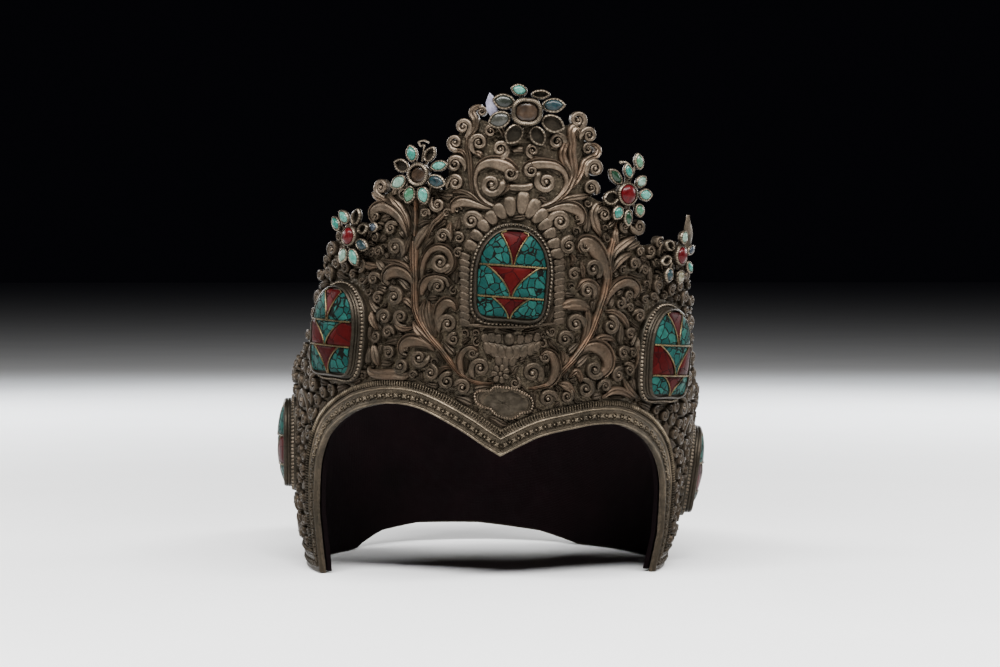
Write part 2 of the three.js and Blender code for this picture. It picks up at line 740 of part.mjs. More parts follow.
// Lean the crown onto its flaps and centre its footprint.
crown.rotation.y = LEAN;
crown.updateMatrixWorld(true);
const span = new THREE.Box3().setFromObject(crown, true);
crown.position.x = -(span.min.x + span.max.x) / 2;
crown.position.y = -(span.min.y + span.max.y) / 2;
crown.updateMatrixWorld(true);

export default crown;
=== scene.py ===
"""Looks of the ceremonial crown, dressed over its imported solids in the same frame."""
import math

import bpy
import numpy as np
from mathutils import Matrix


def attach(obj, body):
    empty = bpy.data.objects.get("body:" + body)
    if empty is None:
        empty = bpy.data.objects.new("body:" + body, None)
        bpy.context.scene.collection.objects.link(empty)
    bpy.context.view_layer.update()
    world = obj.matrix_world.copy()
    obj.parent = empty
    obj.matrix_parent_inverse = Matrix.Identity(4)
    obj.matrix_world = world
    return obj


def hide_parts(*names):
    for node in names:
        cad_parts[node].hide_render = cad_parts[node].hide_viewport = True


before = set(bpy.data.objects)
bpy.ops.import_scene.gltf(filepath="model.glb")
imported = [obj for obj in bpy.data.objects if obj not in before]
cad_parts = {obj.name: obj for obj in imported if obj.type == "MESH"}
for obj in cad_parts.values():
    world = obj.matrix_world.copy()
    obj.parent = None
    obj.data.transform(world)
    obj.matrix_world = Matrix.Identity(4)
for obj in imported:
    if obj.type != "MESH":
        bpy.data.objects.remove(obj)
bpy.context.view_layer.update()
RANDOM = np.random.default_rng(8096)

# The crown is laid out upright in millimetres, then leaned and centred as the solids are.
# A place on its wall is an arc from the middle of the front, right positive, a height and a distance out.
LEAN = math.radians(4)
SHIFT = np.array([-5.011634, 4.656391, 0.0])
ARC_RADIUS = 98.0
HALF_TURN = math.pi * ARC_RADIUS
WALL_HEIGHT = [-14, 0, 25, 50, 90, 240]
WALL_HALF_WIDTH = [82.5, 85.5, 91.0, 94.0, 96.2, 95.0]
WALL_HALF_DEPTH = [87.0, 90.0, 95.0, 97.3, 99.0, 98.0]
WALL_THICK = 1.6

# Top edge of the wall, stepping down from the crest to the back.
TOP_ARC = [0, 5, 8, 19, 25, 31, 34, 36, 41, 45, 52, 58, 65, 71, 74, 90, 98, 105, 112, 118, 128, 141, 160,
           HALF_TURN]
TOP_LEFT = [217, 215, 208, 211, 213, 206, 196, 178, 184, 184, 181, 179, 176, 172, 160, 160, 155, 147, 133,
            113, 100, 95, 90, 84]
TOP_RIGHT = [217, 215, 208, 211, 213, 206, 196, 180, 178, 184, 184, 173, 160, 161, 162, 163, 159, 147, 133,
             113, 100, 95, 90, 84]
# Lower edge: the brow, smooth over its first turns, the flaps on the floor and a low arch behind.
LOW_ARC = [0, 8, 19, 34, 45, 58, 71, 80, 90, 98, 105, 108, 110.5, 112, 208, 224, 245, 270, HALF_TURN]
LOW_LEFT = [60.3, 64.4, 70.6, 77.2, 79.8, 79.4, 76.2, 72.2, 66.2, 58.8, 45.5, 31, 10, -14, -14, -3, 4, 8, 9.5]
LOW_RIGHT = [60.3, 65.0, 70.6, 74.6, 76.8, 77.0, 73.2, 68.6, 60.6, 48.4, 29.6, 18.8, 8, -14, -14, -3, 4, 8,
             9.5]
LOW_TURNS = 13

# Volutes of the front: arc, height, radius, aim (where the outer turn begins), hand (1 winds anticlockwise),
# tail (how far it runs back), both in degrees, and a rise of its own for some.
CURLS = [
    (-19.2, 213.2, 2.44, 90, -1, 60), (-27.2, 205.9, 4.27, -20, 1, 60), (-30.4, 198.8, 4.1, -100, -1, 40),
    (-19.5, 199.4, 4.44, 190, -1, 70), (-14.5, 204.8, 3.2, 60, 1, 30), (-9.6, 197.1, 4.61, -60, 1, 40),
    (-4.3, 186.4, 3.6, 20, -1, 20, 4.3), (-12.5, 181.1, 6.04, 0, -1, 30), (4.8, 197.5, 3.64, -100, -1, 30),
    (4.8, 188.3, 3.7, 100, 1, 20, 4.3), (11.9, 184, 5.51, 150, 1, 30), (15.5, 202.3, 4.36, 20, 1, 40),
    (24.6, 212.6, 4.36, -30, 1, 50), (30.4, 206.2, 4.1, 160, -1, 50), (30.4, 200.1, 2.86, 70, 1, 20),
    (34.5, 191.7, 4.65, 170, -1, 60), (33.1, 182.9, 4.02, 10, 1, 50), (-29.9, 189, 4.19, 60, 1, 90),
    (-29, 180.8, 4.19, 150, -1, 60), (-20.4, 164.4, 4.72, 40, 1, 60), (19.6, 166.9, 5.08, 140, -1, 60),
    (-27, 169.1, 2.23, 0, 1, 0), (28, 169.1, 2.14, 0, 1, 0), (-66.6, 177, 4.34, 230, -1, 60),
    (-68.9, 163.5, 2.45, 180, -1, 0), (-59.5, 158.7, 3.61, 60, 1, 30), (-56.3, 150.3, 4.68, 10, 1, 60),
    (-54.9, 128, 4.78, 100, -1, 40), (-59.5, 118.6, 3.89, 150, -1, 60), (-50.9, 119.3, 3.51, 200, -1, 110),
    (-57.2, 112, 3.25, 20, 1, 40), (-47.5, 106, 2.43, 90, 1, 0), (-40.2, 101.6, 4.57, -20, -1, 40),
    (-33.4, 145, 4.91, -30, -1, 30), (-33.8, 134.2, 3.84, 150, -1, 60), (-27.8, 117.8, 4.73, 170, -1, 50),
    (-24.8, 111.1, 3.21, 90, 1, 30), (-49.1, 97.5, 3.78, 260, 1, 60), (-55.9, 102.6, 3.34, 120, -1, 40),
    (-42.8, 93.8, 2.42, 0, 1, 0), (-34.1, 95.4, 3.76, 60, -1, 60), (-33.1, 100.4, 2.24, 0, 1, 0),
    (-26.4, 92.2, 4.11, 100, 1, 40), (-19.1, 90.1, 4.02, 140, -1, 40), (-36.6, 170.7, 3.66, 200, 1, 70),
    (-42.6, 166.6, 2.77, 0, 1, 30), (-25.5, 149.7, 2.67, 60, 1, 30), (-33.1, 156.8, 3.66, 30, 1, 60),
    (-25.6, 156.4, 2.94, 120, -1, 30), (-11.7, 99.3, 4.81, 180, -1, 60), (-15.7, 105.5, 2.67, 0, -1, 20),
    (11.6, 98.7, 5.35, -20, 1, 30), (17.2, 106, 2.68, 180, 1, 20), (-15, 114.7, 2.05, 0, 1, 0),
    (-14, 110.6, 2.32, 120, 1, 30), (15.4, 111.9, 2.23, 60, -1, 30), (15.2, 115.9, 1.52, 0, 1, 0),
    (25.5, 114.7, 3.85, 60, 1, 60), (30.1, 121.7, 4.66, 40, 1, 60), (19.5, 87.5, 4.12, 60, 1, 60),
    (28.4, 89.1, 3.23, 20, -1, 60), (37.2, 92.8, 4.32, 60, -1, 60), (47.4, 94.6, 3.34, 150, -1, 60),
    (54, 99.7, 3.71, 100, 1, 60), (60.5, 102.2, 3.27, 80, -1, 60), (56.3, 109.8, 3.35, 60, 1, 60),
    (62.2, 110, 2.46, 120, -1, 30), (41.1, 101.8, 4.77, -40, -1, 30), (48, 121.7, 4.51, 60, -1, 40),
    (36.9, 146.8, 4.75, -20, 1, 40), (32.6, 156.8, 3.4, 100, 1, 20), (28, 143.8, 3.31, 60, 1, 40),
    (24.2, 156.3, 4.37, 100, 1, 50), (34.9, 136.8, 4.12, 20, 1, 60), (26.7, 138.3, 1.97, 0, 1, 0),
    (52.9, 132.1, 2.98, 40, -1, 40), (40.8, 171.6, 3.68, 130, -1, 60), (60.2, 167.5, 4.08, 230, 1, 60),
    (41.6, 165.5, 1.8, 0, 1, 0), (59.3, 150.4, 3.17, 30, 1, 60), (62.4, 156, 2.45, 30, 1, 40),
    (64.5, 126.9, 3.46, 120, -1, 60), (67.6, 134.4, 2.46, 60, 1, 30), (59.7, 118.6, 2.91, 60, 1, 60),
    (67.6, 141.7, 2.1, 0, 1, 0), (-68.6, 154.2, 2.45, 60, -1, 30), (-63.2, 149.9, 2.08, 0, 1, 0),
    (-69.7, 147.1, 2.54, 60, 1, 40), (-67.4, 135.4, 3.36, 60, 1, 60), (-64.2, 126.9, 2.9, 100, 1, 60),
    (-42.1, 135.2, 1.61, 0, 1, 0), (74.6, 160.8, 3.02, 60, 1, 40), (82.1, 155.2, 2.94, 100, -1, 60),
    (73.4, 152, 2.56, 200, 1, 40), (75.6, 144.8, 3.02, 60, -1, 60), (26.7, 128.7, 1.88, 0, 1, 0),
    (-32, 167.2, 2.32, 60, 1, 40),
]
# Volutes of the flanks, the same on both sides.
SIDE_CURLS = [
    (66, 148, 3, 150, -1, 60), (77.6, 157.6, 3.8, 200, -1, 60), (86.3, 139.4, 3.6, 60, 1, 60),
    (76, 141.6, 3.8, 240, -1, 60), (97.6, 147.6, 4.4, 10, 1, 70), (99.4, 136.6, 4, 200, -1, 60),
    (107.2, 124.6, 4.4, 20, 1, 80), (108, 135.6, 3.4, 200, 1, 60), (110.6, 99, 5.2, 150, 1, 110),
    (106.4, 84.6, 4.6, 30, -1, 80), (119.6, 92, 4, 200, -1, 60), (120.6, 76, 5.4, 120, -1, 110),
    (108.6, 70.6, 4, 200, 1, 60), (111.6, 60.6, 3.8, 60, -1, 60),
]
# Leaves, hoods over the volutes, plain bars, fronds, a rod, ridged stems and the lotus cup under the niche,
# each as rows of arc, height and width.
RIBBONS = {
    "leaf": [
        [(-20.5, 175, 1.8), (-21.8, 180.3, 2.4), (-22.7, 186.9, 2.5), (-23.7, 193.1, 2.4),
         (-24.9, 198, 2.2), (-23.9, 202, 2.4), (-21.8, 205.7, 2.8), (-21.9, 209.3, 3.3),
         (-23.7, 212.3, 3.4), (-22.5, 214.6, 2.8), (-19.3, 215.6, 1.8)],
        [(-24.6, 187.7, 0.9), (-24.9, 191.7, 2), (-26.6, 194.7, 2.2), (-29.9, 195.3, 2),
         (-33.2, 195.7, 1.3)],
        [(-8.8, 201.6, 1.3), (-9, 204.7, 2.7), (-11.5, 207.2, 2.7), (-15.1, 207.6, 1.8)],
        [(-21.9, 194.6, 1.3), (-19.2, 194.5, 2.8), (-16.7, 192.2, 1.3)],
        [(-5.4, 182.3, 2.2), (-5.5, 180.1, 3.1), (-8.4, 177.2, 2.2)],
        [(17.3, 193.5, 0.9), (12.1, 193.9, 1.5), (7.1, 194, 2), (3.4, 194.9, 2.2)],
        [(25.7, 204.2, 1.3), (25.2, 207.3, 2.2), (27, 209, 1.8)],
        [(17.2, 174.5, 0.9), (22.7, 177.2, 2.7), (28.3, 178.5, 2.9), (34.6, 180, 0.9)],
        [(-9.3, 170.9, 1.3), (-16.2, 172.2, 1.8), (-21.9, 175.9, 2.2), (-26.7, 177.2, 2.2),
         (-30.8, 176.7, 0.9)],
        [(-50.5, 158, 0.9), (-51.4, 162.1, 2.9), (-54.1, 166.4, 4), (-58, 170, 3.8), (-62.6, 173.4, 1.4)],
        [(-55.3, 164.6, 1.3), (-60.1, 168.4, 2.3), (-64.8, 170.7, 2.7), (-69.4, 172.6, 2.9),
         (-72.3, 175.2, 2.7)],
        [(-46.7, 148.8, 1.3), (-45.3, 153.4, 3.3), (-42.9, 157.8, 3.8), (-39.5, 162, 1.3)],
        [(-42, 152.7, 0.9), (-38.7, 161, 2.1), (-35.2, 164.8, 2.5), (-32.1, 169, 1.8), (-32.2, 171.7, 0.9)],
        [(-51.3, 148.5, 0.9), (-50.3, 152.2, 2.2), (-49.3, 155.9, 0.9)],
        [(-46.8, 138, 0.9), (-49.9, 141.7, 2.1), (-54, 143.4, 2.3), (-59, 143.8, 2.1), (-63.7, 144, 0.9)],
        [(-52.1, 126.8, 0.9), (-48.4, 126.7, 3), (-45.1, 123.3, 1.3)],
        [(-44.9, 114.7, 1.3), (-48.4, 113.9, 2.5), (-52.1, 114.9, 2.5), (-54.3, 117.8, 1.8)],
        [(-67.8, 120.8, 0.9), (-66.8, 116.8, 3.2), (-64, 112.7, 1.4)],
        [(-45, 117.7, 0.9), (-42.2, 113.8, 3.6), (-38, 110.3, 3.6), (-32.1, 106.6, 1.3)],
        [(-35.3, 110.7, 1.3), (-39, 116.5, 3), (-40.8, 122.3, 3), (-39.9, 128.2, 0.9)],
        [(-34.4, 111.5, 1.3), (-36.6, 118.1, 3.1), (-37.9, 122.9, 3.1), (-37.9, 127.7, 0.9)],
        [(-33.5, 111.6, 1.3), (-34.4, 117.8, 2.7), (-35.7, 122.6, 2.2), (-35.6, 126.4, 0.9)],
        [(-67.7, 95.3, 1.4), (-64.9, 92.8, 3.6), (-58.8, 92.6, 4.7), (-51.9, 93.2, 4.7), (-47, 93, 3.4),
         (-44.1, 95, 1.3)],
        [(-61.6, 96.3, 1.4), (-63.5, 100.6, 4.5), (-65.2, 106, 1.8)],
        [(-31.1, 95.2, 1.8), (-28.7, 97.8, 2.2), (-25.5, 98.5, 0.9)],
        [(40.1, 133.9, 1.3), (39.8, 138.4, 2.7), (36.3, 140.9, 3.1), (32.6, 140.2, 2.9), (30.4, 137, 1.8)],
        [(22.8, 128.9, 1.8), (27, 130.2, 4.9), (32.4, 130.2, 4.9), (38, 128.2, 1.3)],
        [(34.2, 112.5, 1.3), (35.9, 118.9, 3), (36.2, 125.2, 3), (35.4, 130.1, 1.3)],
        [(46.1, 149.6, 1.4), (48.3, 155.2, 3.2), (51.8, 158.3, 3.6), (55.6, 160.8, 3.2), (60, 162.9, 1.4)],
        [(47.2, 145.2, 1.4), (50, 150.3, 3.2), (53.5, 153.2, 3.2), (58, 155, 1.4)],
        [(50, 157.1, 0.9), (47.5, 161.9, 3), (48.4, 166.6, 1.4)],
        [(45.3, 128.1, 0.9), (49.6, 128.1, 2.7), (54, 126.2, 3), (57.5, 122.8, 2.3), (58.7, 119.9, 0.9)],
        [(39, 113.3, 0.9), (42.6, 115.8, 2.7), (47.3, 116.4, 3), (52.1, 114.8, 0.9)],
        [(29.4, 97.6, 1.1), (32.1, 100.4, 2.9), (34.5, 98.3, 2.9), (34.8, 95.4, 1.3)],
        [(24.2, 94.5, 1.1), (27.7, 93.9, 4), (30.8, 91.6, 3.1), (31.8, 89, 1.8)],
        [(57.8, 98.5, 1.1), (60.4, 94.2, 3.2), (64.2, 91.2, 2.7), (69.4, 88.9, 0.9)],
        [(46.9, 88.9, 0.9), (51.5, 92.2, 3.2), (57.8, 92.4, 3.4), (64.8, 89.2, 1.4)],
        [(40.3, 161.6, 1.3), (37.4, 166, 4), (35.6, 171.2, 4), (37, 175.3, 3), (40.5, 176.5, 1.3)],
        [(24.7, 109.3, 1.3), (26.4, 105.8, 3.6), (24.8, 102.1, 1.3)],
        [(66, 117, 0.9), (64.5, 112.8, 2.7), (66.2, 108.3, 2.7), (65.4, 102.8, 1.4)],
        [(25.9, 152.8, 0.9), (27.5, 150.2, 2.7), (26.3, 147.3, 0.9)],
        [(31.4, 149.6, 1.3), (32, 146, 2.7), (33, 142.1, 1.3)],
        [(-74.9, 142.7, 0.9), (-71, 141.1, 3.6), (-66.1, 141.1, 1.4)],
        [(-30.3, 163.3, 0.9), (-30.5, 159.2, 3.1), (-28.8, 155.3, 1.3)],
    ],
    "hood": [
        [(-8.4, 170.9, 1.3), (-14, 172.8, 2), (-17.8, 176.1, 2), (-20, 180.9, 2.1), (-20.1, 185.3, 2.4),
         (-18.3, 188.8, 3.6), (-15.3, 190.8, 4.9), (-11.2, 191.2, 6.2), (-6.6, 190.2, 6.7),
         (-3.3, 188.2, 5.3), (-2, 185.6, 3.1)],
        [(10, 172.5, 1.6), (15.8, 175.3, 2.2), (19.7, 179.2, 2.4), (21.7, 183.8, 2.5), (20.9, 187.8, 2.8),
         (18.4, 190.5, 3.6), (14.6, 192, 4.3), (10.4, 192.1, 4.7), (6.4, 191.6, 4.9), (3.1, 190, 4),
         (1.9, 187.2, 2.7)],
        [(-8.4, 170.1, 1.1), (-13.8, 170.6, 2), (-18.4, 171.8, 3.6), (-23.1, 172.9, 4.9),
         (-26.9, 172.4, 4.9), (-29.4, 170.2, 3.6), (-29.5, 167.3, 2)],
        [(9.1, 171.7, 1.2), (13.7, 171.6, 2.2), (17.8, 173.2, 3.6), (22.4, 174, 5.2), (26.5, 173.3, 5.4),
         (29.4, 171, 4.3), (30.1, 167.6, 2.7), (28.3, 166, 1.3)],
        [(-50.8, 154.9, 1.3), (-52.5, 159.7, 3.1), (-55.5, 164.1, 4.3), (-60.2, 167.2, 5.2),
         (-65.6, 168.6, 5.4), (-70.2, 166.8, 4.3), (-71.6, 163.4, 2.7), (-69.3, 161, 1.8)],
        [(-45, 132.3, 1.5), (-46.9, 136.4, 3.6), (-50.2, 139.1, 5.4), (-55.1, 140.2, 6.3),
         (-59.3, 138.6, 5.4), (-60.8, 135.3, 3.6), (-59.1, 133.2, 1.8)],
        [(-33.5, 105.5, 1.5), (-37.5, 108.1, 3.6), (-42, 109.4, 5.4), (-46.2, 109, 5.8), (-49, 106.5, 4.5),
         (-49.2, 103.3, 2.7), (-46.9, 102, 1.3)],
        [(-41.9, 135.2, 1.8), (-42.3, 140.6, 2.5), (-41.3, 146, 2.7), (-38.4, 150.1, 3.1),
         (-34.1, 151.7, 3.6), (-30.1, 150.3, 3.8), (-27.9, 146.6, 3.8), (-28.3, 142.6, 3.6),
         (-31.2, 140.1, 2.9)],
        [(-42, 129.8, 1.8), (-41, 133.9, 4), (-38.8, 137, 4), (-34.6, 138.4, 3.1), (-30.4, 137.6, 2.9),
         (-28.7, 134.6, 2.9)],
        [(-32.2, 113.9, 1.8), (-33.1, 119.2, 3.8), (-31.9, 124.7, 4.9), (-29, 127.6, 5.4), (-26, 126.6, 4),
         (-24.8, 123.9, 1.8)],
        [(-19.3, 95.2, 1.8), (-21.1, 99.1, 3.1), (-21.3, 103.5, 3.3), (-19.5, 106.8, 3.1),
         (-16.4, 108.2, 2.9), (-13.6, 106.8, 2)],
        [(16.1, 92.2, 1.5), (20.1, 94.5, 3.1), (22.4, 98.7, 4.5), (22.3, 103.2, 4.5), (20.5, 107.1, 4),
         (17.6, 108.4, 2.9), (15.3, 107, 1.8)],
        [(46.2, 136.5, 1.8), (45, 143.2, 3.6), (42.5, 149.8, 5.8), (39, 155, 7.2), (35, 158.6, 6.7),
         (31, 159.2, 4.5), (29.1, 156.6, 2.7), (30.8, 153.8, 1.8)],
        [(45.3, 131.2, 1.5), (46.5, 136.1, 3.4), (50, 140.2, 4.5), (54.9, 142.2, 5), (59.8, 141.3, 4.4),
         (62.4, 138.3, 3.2), (61.5, 134.8, 1.8)],
        [(33.8, 108.6, 1.5), (37.2, 111.9, 4.5), (41.8, 112.4, 6.6), (46, 110.3, 6.8), (48.4, 106.5, 5.9),
         (48.2, 102.5, 4.5), (45.7, 99.3, 3.2)],
    ],
    "bar": [
        [(-5.5, 180.9, 2.7), (-2.8, 180.5, 3.7), (0.4, 180.5, 3.6), (3.5, 180.9, 3.7), (6.1, 182.2, 2.7)],
        [(-4.2, 197.2, 3.1), (-1.7, 197.4, 2.8), (0.8, 197.6, 3.1)],
        [(-21.8, 117.6, 1.3), (-13.2, 118.2, 2), (-2, 118.6, 2.1), (9.2, 119.6, 2), (21, 121.4, 1.3)],
    ],
    "frond": [
        [(10.4, 172.9, 1.3), (17.1, 176.1, 2), (21.5, 180.2, 2.7), (23.6, 184.4, 3.1), (24.7, 188.9, 3.1),
         (24, 193.8, 3.6), (23, 198.2, 3.6), (23, 202.2, 3.6), (22.2, 205.7, 4), (22.9, 208.6, 4.5),
         (26, 210, 2.7)],
        [(23.5, 185.3, 1.8), (22.4, 189.7, 3.1), (19.9, 193.5, 3.8), (18.6, 197, 3.7), (19.3, 200.1, 3.3),
         (20.2, 203.1, 2.5), (18.3, 205, 1.8)],
        [(22.8, 181.2, 1.8), (26.1, 185.5, 2.9), (28.2, 190.1, 3), (29.1, 193.8, 2.9), (31.4, 195.9, 2.7),
         (34.8, 197.4, 2.9), (35.9, 200.1, 2.9), (34.1, 202, 2.2), (30.9, 202.4, 1.3)],
    ],
    "rod": [
        [(-48, 173.9, 1.5), (-47.7, 169.4, 1.8), (-47.3, 165, 1.7), (-47.1, 160.5, 1.5), (-47.3, 156, 1.3)],
    ],
    "stem": [
        [(-47.6, 153.7, 3.6), (-47.2, 148.8, 4), (-46.5, 143, 3.6), (-45.5, 136.3, 3.3),
         (-45.1, 129.6, 3.1), (-44.2, 123.8, 3.1), (-42, 119, 3), (-38.5, 114.2, 2.9), (-34.8, 110.1, 2.7),
         (-30.7, 106.4, 2.5), (-26.7, 102, 2.3), (-23.1, 98, 2.1), (-19.2, 94.8, 2), (-14.6, 92.9, 1.8),
         (-9.6, 92.3, 1.6), (-5.2, 93.1, 0.9)],
        [(10.7, 91.5, 0.9), (14.3, 92.1, 1.8), (19.3, 93.9, 2.2), (23.2, 97.3, 2.4), (27.2, 101.8, 2.7),
         (31.2, 106.5, 2.9), (34.8, 111.6, 2.9), (38.3, 117.8, 3.1), (40.6, 124.1, 3.1), (42.5, 130, 3.3),
         (44.4, 136.4, 3.6), (45.2, 143.2, 3.9), (45.7, 150.5, 3.9), (46.5, 156.9, 3.4), (47.6, 163.2, 2.3),
         (48, 168.7, 1.4)],
    ],
    "cup": [
        [(-11.5, 110.4, 2.5), (-5.5, 108.6, 4.6), (0.6, 108, 5), (6.6, 109, 4.6), (13.4, 111.8, 2.4)],
        [(-5.4, 103.9, 2), (-0.7, 103.1, 3.6), (4, 104.1, 2)],
    ],
}
# Petals of the lotus: arc, height, half length, half width, turn.
LOTUS = [
    (-9.3, 108.4, 2.5, 1.8, 118), (-6.2, 107.5, 2.6, 1.9, 108), (-2.8, 107, 2.6, 1.9, 98),
    (0.6, 106.9, 2.6, 1.9, 90), (4, 107.2, 2.6, 1.9, 82), (7.3, 108, 2.6, 1.9, 74),
    (10.5, 109.2, 2.5, 1.8, 64), (13.2, 110.7, 2.2, 1.6, 52), (-4, 103.3, 2.1, 1.6, 112),
    (-0.7, 103, 2.1, 1.6, 92), (2.6, 103.5, 2.1, 1.6, 70), (-0.6, 100.6, 1.5, 1.2, 90),
]
# Its sepals, in the same columns.
LOTUS_SEPALS = [
    (-10.6, 112.5, 2.2, 1.5, 120), (-7.6, 113.2, 2.3, 1.5, 105), (-4.7, 112.8, 2.2, 1.4, 95),
    (5.4, 113.2, 2.3, 1.4, 85), (8.9, 113.8, 2.4, 1.5, 75), (12.9, 114.6, 2.2, 1.5, 60),
]
# Ribs of the arch over the front medallion, in the same columns.
NICHE_FAN = [
    (-3.5, 171.9, 4, 2.3, 102), (2, 173.9, 4.6, 2.3, 86), (6.6, 171.7, 4.3, 2.2, 62),
    (-7.7, 169.4, 3.4, 2, 128), (10.1, 168.5, 3.6, 1.9, 44), (12.8, 165, 3.1, 1.7, 36),
    (15.2, 161.2, 2.7, 1.7, 26), (17.4, 156.9, 2.7, 1.8, 16), (19.2, 152.6, 2.7, 1.8, 8),
    (-11.4, 166.3, 2.8, 2, 130), (-14.6, 162.5, 2.7, 1.8, 138), (-17.4, 157.9, 2.7, 1.7, 150),
    (-19.6, 153.3, 2.7, 1.7, 160),
]
# The two posts below the arch: first arc and its step, first height and its step, count, turn.
NICHE_POSTS = [(20.745, 0.2065, 148.92, -2.944, 10, 18), (-22.48, 0.208, 148.38, -2.936, 11, 160)]
POST_HALF = (2.9, 1.62)
# A rosette and the lotus' eye: arc and height.
ROSETTE = (-2.6, 97.4)
ROSETTE_LOBES = 7
ROSETTE_REACH = 2.7
LOTUS_EYE = (0.3, 113.2)

# A running stem round the back: where it starts, how far it swings, its wave, and the volute in each bend.
VINE_START = 176
VINE_SWING = 13.0
VINE_LENGTH = 48.0
VINE_VOLUTE = 9.0
VINE_OFFSET = 5.5

# Box settings with their mosaics: name, arc, height, fused with its stones.
MEDALLIONS = [
    ("front", -0.6, 141.8, False), ("left", -87.9, 110.4, False), ("right", 83.8, 110.5, False),
    ("left_side", -152.0, 53.5, True), ("right_side", 152.0, 53.5, True),
]
MOSAIC_HALF = np.array([15.0, 19.5])
# Right half of a mosaic's outline from foot to top, as shares of its half width and half height.
MOSAIC_OUTLINE = [(0, -1), (0.68, -1), (0.94, -0.82), (1, -0.3), (1, 0.14), (0.86, 0.56), (0.56, 0.86),
                  (0.22, 0.99)]
MOSAIC_STEP = 116.0 / 72
# Heights of the two cross wires of a mosaic, and half widths of the middle stones' mouths from top to foot.
CROSS_WIRES = {"front": (3.8, -10.2), "left": (4.6, -6.9)}
MOUTHS = {"front": (7.4, 12.0, 8.6), "left": (7.4, 10.4, 9.4)}
# A mosaic's face: height of its border, rise of its dome, points across and up a stone, top of its bed.
STONE_EDGE = 6.1
STONE_DOME = 3.4
STONE_COLUMNS = 9
STONE_ROWS = 13
BED_TOP = 4.9
# Sections round a mosaic's outline: out from it, and front from the wall.
SETTING_SECTION = [
    (0.2, 0.2), (3.5, 0.2), (3.5, 1.1), (3.1, 1.6), (2.2, 1.7), (1.7, 2.1), (1.6, 2.9), (1.35, 3.1),
    (1.55, 3.4), (1.45, 4.2), (1.2, 4.4), (1.4, 4.7), (1.3, 5.5), (1.0, 6.1), (0.5, 6.3), (0.1, 6.0),
    (0.0, 4.6),
]
SETTING_FOOT = [(0.0, -2.6), (0.35, 0.2), (3.35, 0.2), (3.35, -2.6)]
# The row of beads round a setting: how far out it runs and its step.
BEAD_OUT = 2.55
BEAD_STEP = 1.75

# Flowers: name, arc, height, cup radius, cup squareness, centre stone.
FLOWERS = [
    ("top", 0.8, 214.0, 6.4, 0.5, "crystal"), ("left_inner", -44.8, 183.4, 5.2, 0.0, "crystal"),
    ("right_inner", 49.0, 181.3, 5.2, 0.0, "coral"), ("left_outer", -79.4, 154.0, 4.6, 0.0, "coral"),
    ("right_outer", 84.4, 155.8, 4.6, 0.0, "coral"),
]
FLOWER_OUT = 3.6
# A petal's lip as (out, front), how bright each turn of it is painted as light and shade, and its stone as
# (share of its size, front).
PETAL_LIP = [(-0.4, 0.2), (0.05, 0.2), (0.3, 0.9), (0.38, 1.7), (0.15, 2.35), (-0.3, 2.55), (-0.75, 2.2),
             (-0.9, 0.4)]
LIP_RELIEF = np.array([0.3, 0.4, 0.6, 0.85, 1.0, 1.0, 0.6, 0.05])
PETAL_STONE = [(0.93, 0.5), (0.93, 1.9), (0.86, 2.5), (0.66, 2.95), (0.36, 3.2), (0.04, 3.25)]
# Cups and centre stones, as (share of the cup's radius, front).
CUPS = {
    "coral": [(0.7, 0.3), (1.0, 0.4), (1.0, 2.6), (1.03, 3.4), (0.98, 4.2), (0.9, 4.5), (0.82, 4.2),
              (0.78, 2.4)],
    "crystal": [(0.6, 0.3), (1.0, 0.4), (1.0, 2.6), (1.03, 3.6), (0.98, 4.4), (0.88, 4.7), (0.76, 4.4),
                (0.68, 2.0)],
}
# How bright each turn of a cup is painted as light and shade.
CUP_RELIEF = np.array([0.2, 0.3, 0.5, 0.8, 1.0, 1.0, 0.6, 0.2])
GEMS = {
    "coral": [(0.79, 1.6), (0.8, 3.4), (0.76, 4.3), (0.64, 5.1), (0.44, 5.7), (0.2, 6.0), (0.02, 6.05)],
    "crystal": [(0.69, 1.4), (0.71, 2.3), (0.66, 2.9), (0.5, 3.3), (0.48, 3.32), (0.3, 3.4), (0.02, 3.4)],
}
GEM_OVAL = {"coral": [0.94, 1.08], "crystal": [1.0, 1.0]}
